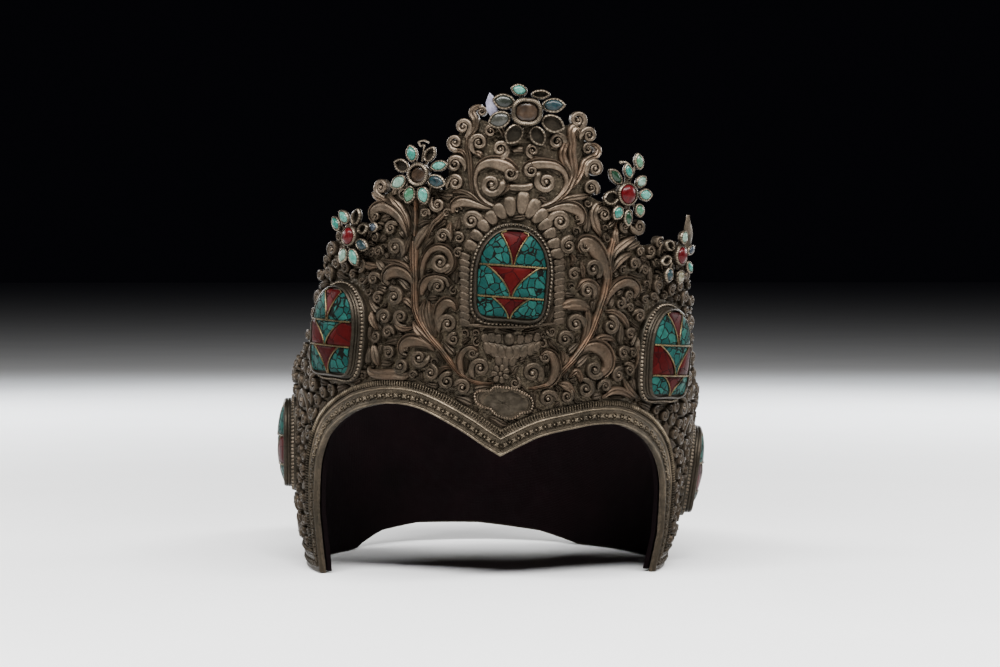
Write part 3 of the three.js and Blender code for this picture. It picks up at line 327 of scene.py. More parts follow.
# Petals of each flower: across, up, half length, half width, turn, and what sits in the petal.
PETALS = {
    "top": [
        (-4.2, 9.5, 3.5, 2.4, 168, "pale"), (5.8, 8.2, 4, 1.9, 4, "empty"), (11.9, 3.8, 4.9, 3, 6, "blue"),
        (12, -4.3, 5.2, 3.6, -20, "empty"), (5.6, -10.2, 4.6, 3.2, -58, "empty"),
        (-4.9, -10.1, 4.8, 3.6, -122, "empty"), (-11.8, -4.3, 4.9, 3.5, 203, "clear"),
        (-10.6, 3.9, 4.8, 3.2, 174, "glass"),
    ],
    "left_inner": [
        (-4.5, 9.2, 3.8, 2.6, 111, "turquoise"), (4.4, 9.3, 3.6, 2.4, 61, "empty"),
        (-9.6, 3.7, 3.7, 2.7, 156, "empty"), (-10, -4, 4, 2.8, 215, "white"),
        (-4.3, -9.1, 4, 2.8, 250, "green"), (2.8, -9.1, 4, 2.8, -69, "pale"),
        (8.6, -2.6, 4.4, 2.8, -12, "blue"), (9.9, 4.4, 4.3, 2.2, 10, "pale"),
    ],
    "right_inner": [
        (0.6, 10.3, 3.2, 2.1, 107, "turquoise"), (-6.2, 7.5, 4.4, 2.4, 140, "dark"),
        (5.9, 15.2, 3.5, 2.2, 104, "green"), (8, 6.3, 3.2, 2.3, 47, "white"),
        (11, 0.5, 3.2, 2.6, 4, "pale"), (-7.9, -2.2, 4, 2.9, 192, "empty"),
        (-3.7, -8.7, 3.2, 2.6, 242, "turquoise"), (8.2, -6.9, 2.9, 2.4, -78, "green"),
        (2.1, -10.5, 3.6, 2, -83, "dark"),
    ],
    "left_outer": [
        (-6.1, 8.7, 3.7, 2.4, 135, "pale"), (-11, 5.4, 3.7, 2.3, 130, "turquoise"),
        (2, 8.9, 3.7, 2.7, 75, "empty"), (7.2, 3.7, 3.4, 2.2, 16, "empty"),
        (7.4, -3.7, 4, 2.5, -20, "blue"), (2.6, -9.4, 4.3, 2.8, -56, "pale"),
        (-4.9, -9.1, 3.6, 2.7, 255, "white"),
    ],
    "right_outer": [
        (3.9, 8.4, 3.2, 2.6, 59, "white"), (2.5, -9.8, 3.2, 2.7, 255, "cream"),
        (-6.4, -9.4, 3.4, 2.8, 250, "blue"), (10, -5.1, 3, 2, -51, "turquoise"),
        (10.4, 3, 3, 2, 30, "slate"), (-7.7, 4.2, 3.8, 2.2, 165, "empty"),
        (-9.3, -2.8, 3.8, 2.1, 194, "empty"),
    ],
}
# A small stone set straight on the wall by the left outer flower: arc, height, half length, half width.
WALL_STONE = (-69.0, 158.7, 2.6, 2.2)
# Bent wires on two flowers, as across, up and front; a leaf tip's axis and half widths; a flat splinter.
HOOK = [(-3.3, 14.1, 1.6), (-0.8, 14.2, 1.9), (2.0, 12.0, 1.8), (1.6, 8.6, 1.0), (1.0, 5.0, 0.6)]
TWIST = [(3.6, 14.4, 1.8), (1.4, 15.2, 2.2), (-1.4, 14.4, 1.9), (-0.6, 12.8, 1.2), (1.2, 13.2, 1.6),
         (0.9, 11.0, 1.0), (0.2, 6.0, 0.6)]
TIP_AXIS = [(9.2, 2.6), (9.0, 8.0), (8.8, 12.5), (7.2, 19.0)]
TIP_SHARE = [0, 0.25, 0.5, 0.7, 0.86, 1]
TIP_HALF = [1.6, 3.4, 4.2, 3.6, 1.9, 0.1]
TIP_SECTION = np.array([(-1, 0.7), (-0.5, 1.5), (0, 2.0), (0.5, 1.5), (1, 0.7), (0, 0.2)])
SHARD = np.array([(-17.0, 7.6), (-18.4, 3.0), (-17.6, -0.6), (-15.6, -3.0), (-12.4, -2.0), (-13.6, 3.6),
                  (-15.2, 6.0)])
SHARD_LEVELS = [(0.9, -0.3), (1.0, 0.0), (0.97, 0.8), (0.8, 1.1)]

# Outline of the cartouche over the brow cusp, and the levels of its frame and bed as (share of size, out).
CARTOUCHE = [(-13.1, 3.2), (-10.4, 4.9), (-6.5, 5.3), (-4.4, 7.0), (0.1, 7.0), (4.6, 6.6), (8.1, 5.3),
             (11.9, 3.2), (13.1, 0.0), (11.9, -3.0), (8.2, -4.0), (6.1, -5.8), (3.3, -6.8), (-0.7, -6.2),
             (-3.6, -5.0), (-6.0, -2.9), (-9.4, -2.3), (-12.3, -0.3)]
CARTOUCHE_ARC = -0.2
CARTOUCHE_HEIGHT = 84.4
CARTOUCHE_FRAME = [(1.06, -0.4), (1.06, 1.0), (1.0, 1.4), (0.95, 1.3), (0.92, 0.6)]
CARTOUCHE_BED = [(0.92, 0.1), (0.91, 0.5), (0.5, 0.6), (0.02, 0.65)]
CARTOUCHE_BEADS = 52

# Lining: how far out from the wall its two sides lie, and its upper edge by arc from the front.
LINING_FACE = -2.75
LINING_BACK = -3.9
LINING_ARC = [0, 40, 75, 100, 115, 130, 160, HALF_TURN]
LINING_TOP = [150, 146, 134, 120, 98, 84, 78, 74]

# Section of the rim: in from the edge, out from the wall.
RIM_SECTION = [
    (0.0, -0.4), (0.0, 1.0), (0.2, 1.35), (0.5, 1.5), (0.8, 1.4), (1.0, 1.05), (1.3, 1.0), (1.5, 1.15),
    (1.7, 1.05), (6.4, 1.05), (6.6, 1.4), (6.9, 1.6), (7.2, 1.5), (7.4, 1.1), (7.7, 1.0), (8.0, 1.15),
    (8.3, 0.9), (10.8, 0.9), (11.1, 0.5), (11.1, -0.4), (5.6, -0.4),
]
# How far in the rim reaches, its line's step and overlap, and the height above which its grains are painted
# bright as light.
RIM_DEPTH = 11.0
RIM_STEP = 1.3
RIM_LAP = 30
LIT_RIM_HEIGHT = 50

# Sections of raised work: share of the half width, share of the rise.
ROUND = [(-1, 0), (-0.97, 0.45), (-0.8, 0.8), (-0.5, 0.97), (0, 1), (0.5, 0.97), (0.8, 0.8), (0.97, 0.45),
         (1, 0)]
VOLUTE = [(-1, 0), (-0.97, 0.68), (-0.86, 0.9), (-0.55, 0.98), (0, 1), (0.5, 0.97), (0.82, 0.88),
          (0.96, 0.62), (1, 0)]
SMALL_VOLUTE = [(-1, 0), (-0.9, 0.82), (-0.4, 1), (0.4, 0.97), (0.9, 0.72), (1, 0)]
LEAF = [(-1, 0), (-0.96, 0.6), (-0.8, 0.9), (-0.45, 1), (0, 0.82), (0.45, 1), (0.8, 0.9), (0.96, 0.6), (1, 0)]
GROOVED = [(-1, 0), (-0.95, 0.5), (-0.75, 0.84), (-0.5, 0.9), (-0.34, 0.66), (-0.15, 0.95), (0, 1),
           (0.15, 0.95), (0.34, 0.66), (0.5, 0.9), (0.75, 0.84), (0.95, 0.5), (1, 0)]
HOOD = [(-1, 0), (-0.97, 0.5), (-0.88, 0.74), (-0.65, 0.86), (-0.25, 0.95), (0.15, 1.0), (0.4, 0.93),
        (0.52, 0.7), (0.62, 0.7), (0.7, 0.93), (0.83, 1.0), (0.94, 0.8), (1, 0)]
SMALL_LEAF = [(-1, 0), (-0.8, 0.8), (-0.35, 1), (0, 0.78), (0.35, 1), (0.8, 0.8), (1, 0)]
# How each kind of ribbon is raised: section, rise, lift left at the ends, wear.
RIBBON_LOOK = {
    "leaf": (LEAF, 2.7, 0.45, 0.12), "hood": (HOOD, 3.2, 0.55, 0.12), "stem": (GROOVED, 2.8, 0.7, 0.4),
    "frond": (LEAF, 3.0, 0.6, 0.25), "bar": (ROUND, 2.5, 0.7, 0.0), "cup": (ROUND, 1.3, 0.7, 0.0),
    "rod": (ROUND, 3.2, 0.8, 1.0),
}
# How far raised work reaches into the plate, and how far out it takes the full painted highlight.
SINK = 1.2
FULL_RELIEF = 3.2
# A direction that no wire runs in, to turn the wires' sections from.
WIRE_GUIDE = np.array([0.31, 0.17, 0.93])
# A lobe's levels as shares of its size and of its rise.
LOBE_LEVELS = np.array([(1.0, 0.5), (0.95, 0.78), (0.82, 0.94), (0.5, 1.0), (0.05, 1.03)])
# A volute's outer coil as shares of its radius: where its middle runs and how wide it is.
VOLUTE_ARM = 0.73
VOLUTE_WIDTH = 0.55
# How much larger the front's volutes are than their rows say, the radius below which one has fewer coils
# and points, and the degrees between points of a tail.
CURL_GROWTH = 1.1
SMALL_CURL = 2.6
TAIL_STEP = 12

# Small work that fills the ground: the arc behind which it is a piece of its own, the cells of the wall,
# how far room is measured, and the least room for a leaf and for a volute.
BACK_ARC = 122.0
GROUND_CELL = 0.8
GROUND_ARCS = np.arange(-HALF_TURN, HALF_TURN, GROUND_CELL)
GROUND_HEIGHTS = np.arange(0, 220, GROUND_CELL)
ROOM_LIMIT = 9.0
LEAF_SPACE = 0.95
VOLUTE_SPACE = 2.3
# Largest volute by arc from the front.
VOLUTE_ARCS = [85, 87, 125, 150]
VOLUTE_SIZES = [5.6, 3.3, 3.3, 4.8]

# Lights: name, place, size, power. They face the middle of the crown.
AIM = (0, 0, 0.11)
LIGHTS = [
    ("key", (-0.30, -0.76, 1.02), (1.0, 0.2), 40), ("fill", (0.48, -0.70, 1.00), (1.0, 0.2), 28),
    ("left", (-1.1, 0.25, 0.5), (0.6, 0.4), 8), ("right", (1.1, 0.35, 0.5), (0.6, 0.4), 8),
    ("back_left", (-0.8, 1.15, 0.52), (0.7, 0.3), 11), ("back_right", (0.8, 1.15, 0.52), (0.7, 0.3), 11),
]
# Floor and camera: half size and place in metres, turns in degrees, lens in millimetres.
FLOOR_HALF = 12.0
CAMERA_PLACE = (-0.0461, -1.1447, 0.150)
CAMERA_TILT = -1.893
CAMERA_YAW = -2.463
CAMERA_LENS = 84.96


def on_wall(arc, height, out):
    """Places on the wall, out in front of its outer face."""
    arc, height, out = np.broadcast_arrays(np.asarray(arc, float), height, out)
    width = np.interp(height, WALL_HEIGHT, WALL_HALF_WIDTH) + out
    depth = np.interp(height, WALL_HEIGHT, WALL_HALF_DEPTH) + out
    turn = arc / ARC_RADIUS
    return np.stack((width * np.sin(turn), -depth * np.cos(turn), height), axis=-1)


def to_frame(points):
    """Leans and centres laid-out points, and turns millimetres to metres."""
    x, y, z = np.moveaxis(points, -1, 0)
    c, s = math.cos(LEAN), math.sin(LEAN)
    return (np.stack((x * c + z * s, y, z * c - x * s), axis=-1) + SHIFT) / 1000


def fold(arc):
    """The signed arc from the middle of the front, for an arc counted all the way round."""
    return (np.asarray(arc, float) + HALF_TURN) % (2 * HALF_TURN) - HALF_TURN


def smooth_path(rows, steps):
    """A smooth curve through rows of numbers, with the same count of steps between each pair."""
    rows = np.asarray(rows, float)
    padded = np.vstack((2 * rows[0] - rows[1], rows, 2 * rows[-1] - rows[-2]))
    share = np.linspace(0, 1, steps, endpoint=False)[:, None]
    pieces = []
    for a, b, c, d in zip(padded, padded[1:], padded[2:], padded[3:]):
        pieces.append(0.5 * (2 * b + (c - a) * share + (2 * a - 5 * b + 4 * c - d) * share ** 2
                             + (3 * b - a - 3 * c + d) * share ** 3))
    return np.vstack(pieces + [rows[-1:]])


def even_path(path, step, closed=False):
    """The same line with points about a step apart."""
    line = np.vstack((path, path[:1])) if closed else path
    run = np.concatenate(([0], np.cumsum(np.linalg.norm(np.diff(line, axis=0), axis=1))))
    count = max(int(round(run[-1] / step)), 2)
    places = np.linspace(0, run[-1], count, endpoint=not closed)
    return np.stack([np.interp(places, run, column) for column in line.T], axis=1)


def smooth_loop(rows, step):
    """A smooth closed line through rows, with points about a step apart."""
    wide = np.vstack((rows[-3:], rows, rows[:4]))
    return even_path(smooth_path(wide, 8)[24:-25], step, closed=True)


def low_curve(heights):
    """One side of the brow, smooth from the cusp to the foot of its flap."""
    rows = np.stack((LOW_ARC, heights), axis=1)
    return np.vstack((smooth_path(rows[:LOW_TURNS], 8), rows[LOW_TURNS:])).T


TOP_EDGES = ((TOP_ARC, TOP_LEFT), (TOP_ARC, TOP_RIGHT))
LOW_EDGES = (low_curve(LOW_LEFT), low_curve(LOW_RIGHT))


def edge_height(arc, edges):
    """An edge's height, read from its left or its right table."""
    arc = fold(arc)
    return np.where(arc < 0, np.interp(-arc, *edges[0]), np.interp(arc, *edges[1]))


def top_edge(arc):
    return edge_height(arc, TOP_EDGES)


def floor_height(arc):
    return on_wall(arc, 0, 0)[..., 0] * math.tan(LEAN)


def low_edge(arc, lift=0.5):
    return np.maximum(edge_height(arc, LOW_EDGES), floor_height(fold(arc)) + lift)


def ring_arcs(step, table=()):
    """Arcs all the way round, closer together where the flaps' edges are steep."""
    half = np.concatenate((np.arange(94, 113, 0.4), table))
    arcs = np.unique(np.concatenate((np.arange(0, 2 * HALF_TURN, step), half, 2 * HALF_TURN - half)))
    arcs = arcs[arcs < 2 * HALF_TURN - 0.4]
    return arcs[np.concatenate(([True], np.diff(arcs) > 0.3))]


def unit(rows):
    return rows / (np.linalg.norm(rows, axis=-1, keepdims=True) + 1e-12)


def directions(path, closed=False):
    """Unit steps along a line, one for each of its points."""
    return unit(np.roll(path, -1, axis=0) - np.roll(path, 1, axis=0) if closed else np.gradient(path, axis=0))


def beside(path, closed=False):
    """Unit steps to the left of a flat line."""
    along = directions(path, closed)
    return np.stack((-along[:, 1], along[:, 0]), axis=1)


def turned(x, y, degrees):
    c, s = math.cos(math.radians(degrees)), math.sin(math.radians(degrees))
    return x * c - y * s, x * s + y * c


def circle(count):
    """Angles all the way round."""
    return np.arange(count) * 2 * math.pi / count


def light_and_polish_at(height):
    """How much painted light and polish a place takes by its height: most at the crest, least on the body."""
    return np.interp(height, [55, 150, 176, 196], [0.22, 0.30, 0.85, 1.0])


class Heap:
    """Closed bodies gathered into one mesh, with how high each point stands (its painted shade and
    highlight), how worn it is, and how much painted light and polish it takes.
    """

    def __init__(self):
        self.points, self.quads, self.tris = [], [], []
        self.looks = {"relief": [], "wear": [], "light_and_polish": []}
        self.count = 0

    def loft(self, sections, relief, wear=0.0, closed=False, light_and_polish=1.0):
        """Skins closed loops with the same count of points; an open row of them gets two end faces."""
        rows, ring = sections.shape[:2]
        index = np.arange(rows * ring).reshape(rows, ring)
        here, ahead = index, np.roll(index, -1, axis=0)
        tris = np.zeros((0, 3), int)
        if not closed:
            here, ahead = here[:-1], ahead[:-1]
            first, last = index[0], index[-1]
            near = [(first[0], first[i], first[i + 1]) for i in range(1, ring - 1)]
            far = [(last[0], last[i + 1], last[i]) for i in range(1, ring - 1)]
            tris = np.array(near + far)
        quads = np.stack((here, ahead, np.roll(ahead, -1, axis=1), np.roll(here, -1, axis=1)), axis=-1)
        quads = quads.reshape(-1, 4)
        points = to_frame(sections.reshape(-1, 3))
        halves = np.vstack((quads[:, [0, 1, 2]], quads[:, [0, 2, 3]], tris))
        corners = points[halves] - points.mean(axis=0)
        if np.einsum("ij,ij->i", corners[:, 0], np.cross(corners[:, 1], corners[:, 2])).sum() < 0:
            quads, tris = quads[:, ::-1], tris[:, ::-1]
        self.points.append(points)
        self.quads.append(quads + self.count)
        self.tris.append(tris + self.count)
        self.count += len(points)
        for key, value in (("relief", relief), ("wear", wear), ("light_and_polish", light_and_polish)):
            self.looks[key].append(np.broadcast_to(value, (rows, ring)).ravel())

    def piece(self, name, material, slot, *nodes, sharp=50):
        points, quads, tris = map(np.concatenate, (self.points, self.quads, self.tris))
        mesh = bpy.data.meshes.new(name)
        mesh.vertices.add(len(points))
        mesh.vertices.foreach_set("co", points.ravel().astype(np.float32))
        corners = np.concatenate((quads.ravel(), tris.ravel())).astype(np.int32)
        sizes = np.concatenate((np.full(len(quads), 4), np.full(len(tris), 3)))
        mesh.loops.add(len(corners))
        mesh.loops.foreach_set("vertex_index", corners)
        mesh.polygons.add(len(sizes))
        mesh.polygons.foreach_set("loop_start", (np.cumsum(sizes) - sizes).astype(np.int32))
        mesh.polygons.foreach_set("use_smooth", np.ones(len(sizes), bool))
        for key, rows in self.looks.items():
            layer = mesh.attributes.new(key, "FLOAT", "POINT")
            layer.data.foreach_set("value", np.concatenate(rows).astype(np.float32))
        mesh.update(calc_edges=True)
        mesh.validate()
        mesh.set_sharp_from_angle(angle=math.radians(sharp))
        mesh.materials.append(material)
        thing = bpy.data.objects.new(name, mesh)
        bpy.context.scene.collection.objects.link(thing)
        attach(thing, "root")
        if nodes:
            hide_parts(*nodes)
        return thing


# Places already covered on the wall, as (arc, height, radius) discs.
COVERED = []


def lay(heap, arc, height, out, wear=0.0, highlight_and_polish=False):
    """Raises sections on the wall, with painted shade low in the ground and painted highlight the further out
    they stand.
    """
    sections = on_wall(arc, height, out)
    light_and_polish = 1.0 if highlight_and_polish else light_and_polish_at(sections[..., 2])
    heap.loft(sections, np.clip(out / FULL_RELIEF, 0, 1), wear, light_and_polish=light_and_polish)


def band(heap, path, width, rise, section, flip=1, wear=0.0):
    """A raised band along a path on the wall."""
    spread, lift = np.array(section).T
    width = np.broadcast_to(width, len(path))
    rise = np.broadcast_to(rise, len(path))
    offset = spread * flip * width[:, None] / 2
    across = beside(path)
    lay(heap, path[:, :1] + across[:, :1] * offset, path[:, 1:] + across[:, 1:] * offset,
        -SINK + (rise[:, None] + SINK) * lift, wear)
    COVERED.extend((arc, height, wide / 2) for (arc, height), wide in zip(path[::3], width[::3]))


def bulge(long, wide, sides, rings, power, tip):
    """Rings of a rounded grain: across, up, and how far each has climbed."""
    climb = np.concatenate(([0], np.linspace(0, math.pi / 2, rings + 1)))[:, None]
    share = np.cos(climb) ** power
    share[-1] = tip
    return long * np.cos(circle(sides)) * share, wide * np.sin(circle(sides)) * share, np.sin(climb)


def dome(heap, arc, height, long, wide, rise, turn=0.0, sides=12, rings=3, base=0.0, power=0.8, highlight_and_polish=False):
    """A raised pillow on the wall."""
    x, y, climb = bulge(long, wide, sides, rings, power, 0.03)
    out = climb * rise + base
    out[0] = base - SINK
    x, y = turned(x, y, turn)
    lay(heap, arc + x, height + y, out, highlight_and_polish=highlight_and_polish)


def curl(heap, arc, height, radius, aim, hand, tail, rise=None, small=False):
    """A volute like a snail shell: touching coils wind in to a round eye, and a short tail runs back."""
    rise = rise or min(1.5 + 0.36 * radius, 3.1)
    small = small or radius < SMALL_CURL
    turns = math.radians(380 if small else 470)
    share = np.linspace(0, 1, int(13 + 3.5 * radius) if small else int(20 + 3.4 * radius))
    back = np.linspace(1, 0, max(int(tail / TAIL_STEP), 2), endpoint=False)
    angle = math.radians(aim) + hand * np.concatenate((-math.radians(tail) * back, turns * share))
    far = np.concatenate((radius * (VOLUTE_ARM + 0.55 * tail / 120 * back ** 1.3),
                          radius * (VOLUTE_ARM - 0.52 * share ** 0.9)))
    width = np.concatenate((radius * (VOLUTE_WIDTH + 0.12 * np.sin(math.pi * back) - 0.34 * back ** 2),
                            radius * (VOLUTE_WIDTH - 0.30 * share)))
    lift = np.concatenate((rise * (1 - 0.5 * back ** 2), rise * (1 - 0.10 * share)))
    path = np.stack((arc + far * np.cos(angle), height + far * np.sin(angle)), axis=1)
    band(heap, path, width, lift, SMALL_VOLUTE if small else VOLUTE, flip=hand)
    eye = 0.25 * radius
    sides, rings = (8, 2) if small else (12, 3)
    # Painted highlight: the eyes of the larger volutes take the brightest tone as glints.
    dome(heap, arc, height, eye, eye, rise * 1.12, sides=sides, rings=rings, highlight_and_polish=radius > 4)
    COVERED.append((arc, height, radius))


def ribbon(heap, kind, rows):
    """A tapering band through rows of arc, height and width."""
    section, rise, ends, wear = RIBBON_LOOK[kind]
    path = smooth_path(rows, 7)
    share = np.linspace(0, 1, len(path))
    width = np.maximum(1.12 * path[:, 2], 0.6)
    lift = np.minimum(rise, 1.2 + 0.5 * width) * (ends + (1 - ends) * np.sin(math.pi * share) ** 0.5)
    steps = np.diff(path[:, :2], axis=0)
    bend = np.cross(steps[:-1], steps[1:]).sum()
    band(heap, path[:, :2], width, lift, section, flip=-1 if bend > 0 else 1, wear=wear)


def signed_power(values, power):
    return np.sign(values) * np.abs(values) ** power


def lobe(heap, arc, height, long, wide, rise, turn, taper=0.0):
    """A rounded lobe, such as a rib of a shell or a petal, that narrows towards its foot."""
    x = signed_power(np.cos(circle(20)), 0.9 if taper else 0.6)
    y = signed_power(np.sin(circle(20)), 0.7) * (1 - 0.5 * taper * (1 - x))
    share = np.concatenate(([1.0], LOBE_LEVELS[:, 0]))[:, None]
    out = np.concatenate(([-SINK], LOBE_LEVELS[:, 1] * rise))[:, None]
    across, up = turned(long * x * share, wide * y * share, turn)
    lay(heap, arc + across, height + up, out)
    COVERED.append((arc, height, 0.5 * (long + wide)))


def facing(arc, height, out):
    """A flat frame on the wall: rows along it, up it and out of it, and the middle."""
    across = unit(on_wall(arc + 1, height, 0) - on_wall(arc - 1, height, 0))
    front = unit(np.cross(across, on_wall(arc, height + 8, 0) - on_wall(arc, height - 8, 0)))
    return np.stack((across, np.cross(front, across), front)), on_wall(arc, height, 0) + front * out


def placed(place, x, y, z):
    axes, middle = place
    return np.stack(np.broadcast_arrays(np.asarray(x, float), y, z), axis=-1) @ axes + middle


def tiered(place, outline, levels):
    """Copies of an outline on a flat frame, one for each (share of its size, front)."""
    return np.stack([placed(place, *(outline * share).T, front) for share, front in levels])


def pillow(heap, place, x, y, long, wide, low, high, relief=1.0):
    """A small rounded grain on a flat frame."""
    across, up, climb = bulge(long, wide, 8, 2, 0.8, 0.05)
    climb = 0.4 + 0.6 * climb
    climb[0] = 0
    heap.loft(placed(place, x + across, y + up, low + (high - low) * climb), relief)


def ring_wall(heap, place, outline, section, relief):
    """A closed moulding round an outline on a flat frame; section rows are (out, front)."""
    away = -beside(outline, closed=True)
    out, front = np.array(section).T
    moved = placed(place, outline[:, :1] + away[:, :1] * out, outline[:, 1:] + away[:, 1:] * out, front)
    heap.loft(moved, relief, closed=True)


def wire(heap, points, radius, relief=1.0, wear=0.0, sides=6, closed=False):
    """A round wire through laid-out points; the radius may change along it."""
    along = directions(points, closed)
    side = unit(np.cross(along, WIRE_GUIDE))
    other = np.cross(along, side)
    around = circle(sides)[:, None]
    size = np.broadcast_to(radius, len(points))[:, None, None]
    sections = points[:, None] + size * (side[:, None] * np.cos(around) + other[:, None] * np.sin(around))
    heap.loft(sections, relief, wear, closed=closed)


class Paint:
    """A material's nodes, which all read the object's own coordinates."""

    def __init__(self, name):
        self.material = bpy.data.materials.new(name)
        self.material.use_nodes = True
        self.tree = self.material.node_tree
        self.shader = self.tree.nodes["Principled BSDF"]
        self.place = self.tree.nodes.new("ShaderNodeTexCoord").outputs["Object"]

    def feed(self, socket, value):
        """Joins a socket to an output or sets it."""
        if isinstance(value, bpy.types.NodeSocket):
            self.tree.links.new(value, socket)
        elif isinstance(value, tuple) and socket.type == "RGBA":
            socket.default_value = (*value, 1)
        else:
            socket.default_value = value

    def node(self, kind, inputs, operation=None):
        item = self.tree.nodes.new("ShaderNode" + kind)
        if operation:
            item.operation = operation
        for key, value in inputs.items():
            self.feed(item.inputs[key], value)
        return item

    def noise(self, scale, detail, roughness=0.55):
        inputs = {"Vector": self.place, "Scale": scale, "Detail": detail, "Roughness": roughness}
        return self.node("TexNoise", inputs).outputs["Fac"]

    def ramp(self, source, *stops):
        """Colours along a value; a plain number is a grey."""
        item = self.node("ValToRGB", {"Fac": source})
        elements = item.color_ramp.elements
        while len(elements) < len(stops):
            elements.new(0.5)
        for element, (place, colour) in zip(elements, stops):
            element.position = place
            element.color = (*colour, 1) if isinstance(colour, tuple) else (colour, colour, colour, 1)
        return item.outputs["Color"]

    def mix(self, share, first, second, blend="MIX"):
        item = self.tree.nodes.new("ShaderNodeMix")
        item.data_type = "RGBA"
        item.blend_type = blend
        for index, value in ((0, share), (6, first), (7, second)):
            self.feed(item.inputs[index], value)
        return item.outputs[2]

    def maths(self, operation, first, second):
        return self.node("Math", {0: first, 1: second}, operation).outputs[0]

    def stored(self, key):
        item = self.tree.nodes.new("ShaderNodeAttribute")
        item.attribute_name = key
        return item.outputs["Fac"]

    def finish(self, sockets, heights, strength, distance):
        """Sets the shader's sockets and a bump."""
        for key, value in sockets.items():
            self.feed(self.shader.inputs[key], value)
        bump = self.node("Bump", {"Height": heights, "Strength": strength, "Distance": distance})
        self.feed(self.shader.inputs["Normal"], bump.outputs["Normal"])
        return self.material


def scaled(colour, share, tint=(1, 1, 1)):
    return tuple(share * part * cast for part, cast in zip(colour, tint))


def metal(name, dark, middle, light, stipple=0.0):
    """Tarnished silvering: painted shade dark in the ground, painted highlight pale on the high relief,
    painted light brighter at the crest and darker on the body, copper where rubbed through.
    """
    paint = Paint(name)
    highlight_and_polish = paint.stored("light_and_polish")
    patches = paint.maths("MULTIPLY", paint.maths("SUBTRACT", paint.noise(60, 5), 0.5), 0.8)
    uneven = paint.maths("ADD", paint.stored("relief"), patches)
    lit_tone = paint.ramp(uneven, (0.02, dark), (0.30, scaled(middle, 0.55)), (0.62, middle), (1.0, light))
    shaded_tone = paint.ramp(uneven, (0.02, scaled(dark, 0.8, BROWN)), (0.35, scaled(middle, 0.22, BROWN)),
                      (1.0, scaled(middle, 0.19, BROWN)))
    stain = paint.ramp(paint.noise(140, 6), (0.42, 0.0), (0.66, 1.0))
    grime = paint.ramp(paint.noise(1100, 4, 0.7), (0.36, 0.60), (0.58, 1.1), (0.74, 1.4))
    rubbed = paint.ramp(paint.noise(110, 4), (0.38, 0.0), (0.6, 1.0))
    colour = paint.mix(paint.maths("MULTIPLY", stain, 0.6), paint.mix(highlight_and_polish, shaded_tone, lit_tone), STAIN)
    colour = paint.mix(1.0, colour, grime, "MULTIPLY")
    colour = paint.mix(paint.maths("MULTIPLY", paint.stored("wear"), rubbed), colour, COPPER)
    shine = paint.ramp(uneven, (0.0, 0.75), (0.5, 0.88), (1.0, 0.97))
    flat = paint.ramp(uneven, (0.0, 0.60), (1.0, 0.88))
    worn = paint.noise(220, 5)
    smooth = paint.ramp(worn, (0.3, 0.38), (0.7, 0.54))
    coarse = paint.ramp(worn, (0.3, 0.50), (0.7, 0.68))
    heights = paint.maths("ADD", paint.noise(320, 3), paint.maths("MULTIPLY", paint.noise(900, 3), 0.4))
    if stipple:
        punch = paint.node("TexVoronoi", {"Vector": paint.place, "Scale": 620}).outputs["Distance"]
        heights = paint.maths("SUBTRACT", heights, paint.maths("MULTIPLY", punch, stipple))
    return paint.finish({"Base Color": colour, "Metallic": paint.mix(highlight_and_polish, flat, shine),
                         "Roughness": paint.mix(highlight_and_polish, coarse, smooth), "Specular IOR Level": 0.3},
                        heights, 0.45, 0.0005)


def chips(name, tones, line, cell, line_width, rough=0.4):
    """Stone chips set close together, with dark lines between them."""
    paint = Paint(name)
    warp = paint.node("TexNoise", {"Vector": paint.place, "Scale": 300}).outputs["Color"]
    bend = paint.node("VectorMath", {0: warp, 1: (0.002, 0.002, 0.002), 2: paint.place}, "MULTIPLY_ADD")
    edge, chip = [paint.node("TexVoronoi", {"Vector": bend.outputs[0], "Scale": cell}) for _ in range(2)]
    edge.feature = "DISTANCE_TO_EDGE"
    tone = paint.ramp(chip.outputs["Color"], *zip((0.2, 0.5, 0.8), tones))
    cloud = paint.ramp(paint.noise(420, 5), (0.3, 0.62), (0.7, 1.0))
    ragged = paint.maths("MULTIPLY", paint.noise(240, 3), line_width)
    reach = paint.maths("SUBTRACT", edge.outputs["Distance"], ragged)
    gap = paint.ramp(reach, (line_width * 0.15, 0.0), (line_width * 0.8, 1.0))
    return paint.finish({"Base Color": paint.mix(gap, line, paint.mix(1.0, tone, cloud, "MULTIPLY")),
                         "Roughness": paint.ramp(gap, (0.0, 0.7), (1.0, rough)),
                         "Specular IOR Level": 0.03}, gap, 0.5, 0.0003)


def stone(name, tones, rough, veins=0.0, gloss=0.12):
    """Polished stone with cloudy colour and a few fine veins."""
    paint = Paint(name)
    colour = paint.ramp(paint.noise(380, 6), *zip((0.28, 0.5, 0.74), tones))
    thread = paint.ramp(paint.noise(520, 8, 0.7), (0.47, 0.0), (0.5, 1.0), (0.53, 0.0))
    return paint.finish({"Base Color": paint.mix(paint.maths("MULTIPLY", thread, veins), colour, VEIN),
                         "Roughness": paint.ramp(paint.noise(700, 3), (0.3, rough * 0.7), (0.7, rough * 1.5)),
                         "Specular IOR Level": 2 * gloss, "Coat Weight": gloss, "Coat Roughness": 0.12},
                        paint.noise(600, 4), 0.12, 0.0003)


def glass(name, tones, rough):
    """A clear stone over a dark foil."""
    paint = Paint(name)
    return paint.finish({"Base Color": paint.ramp(paint.noise(260, 3), *zip((0.3, 0.55, 0.75), tones)),
                         "Roughness": paint.ramp(paint.noise(500, 2), (0.3, rough), (0.7, rough * 2)),
                         "Specular IOR Level": 0.2, "Coat Weight": 0.06, "Coat Roughness": 0.15},
                        paint.noise(300, 2), 0.08, 0.0004)


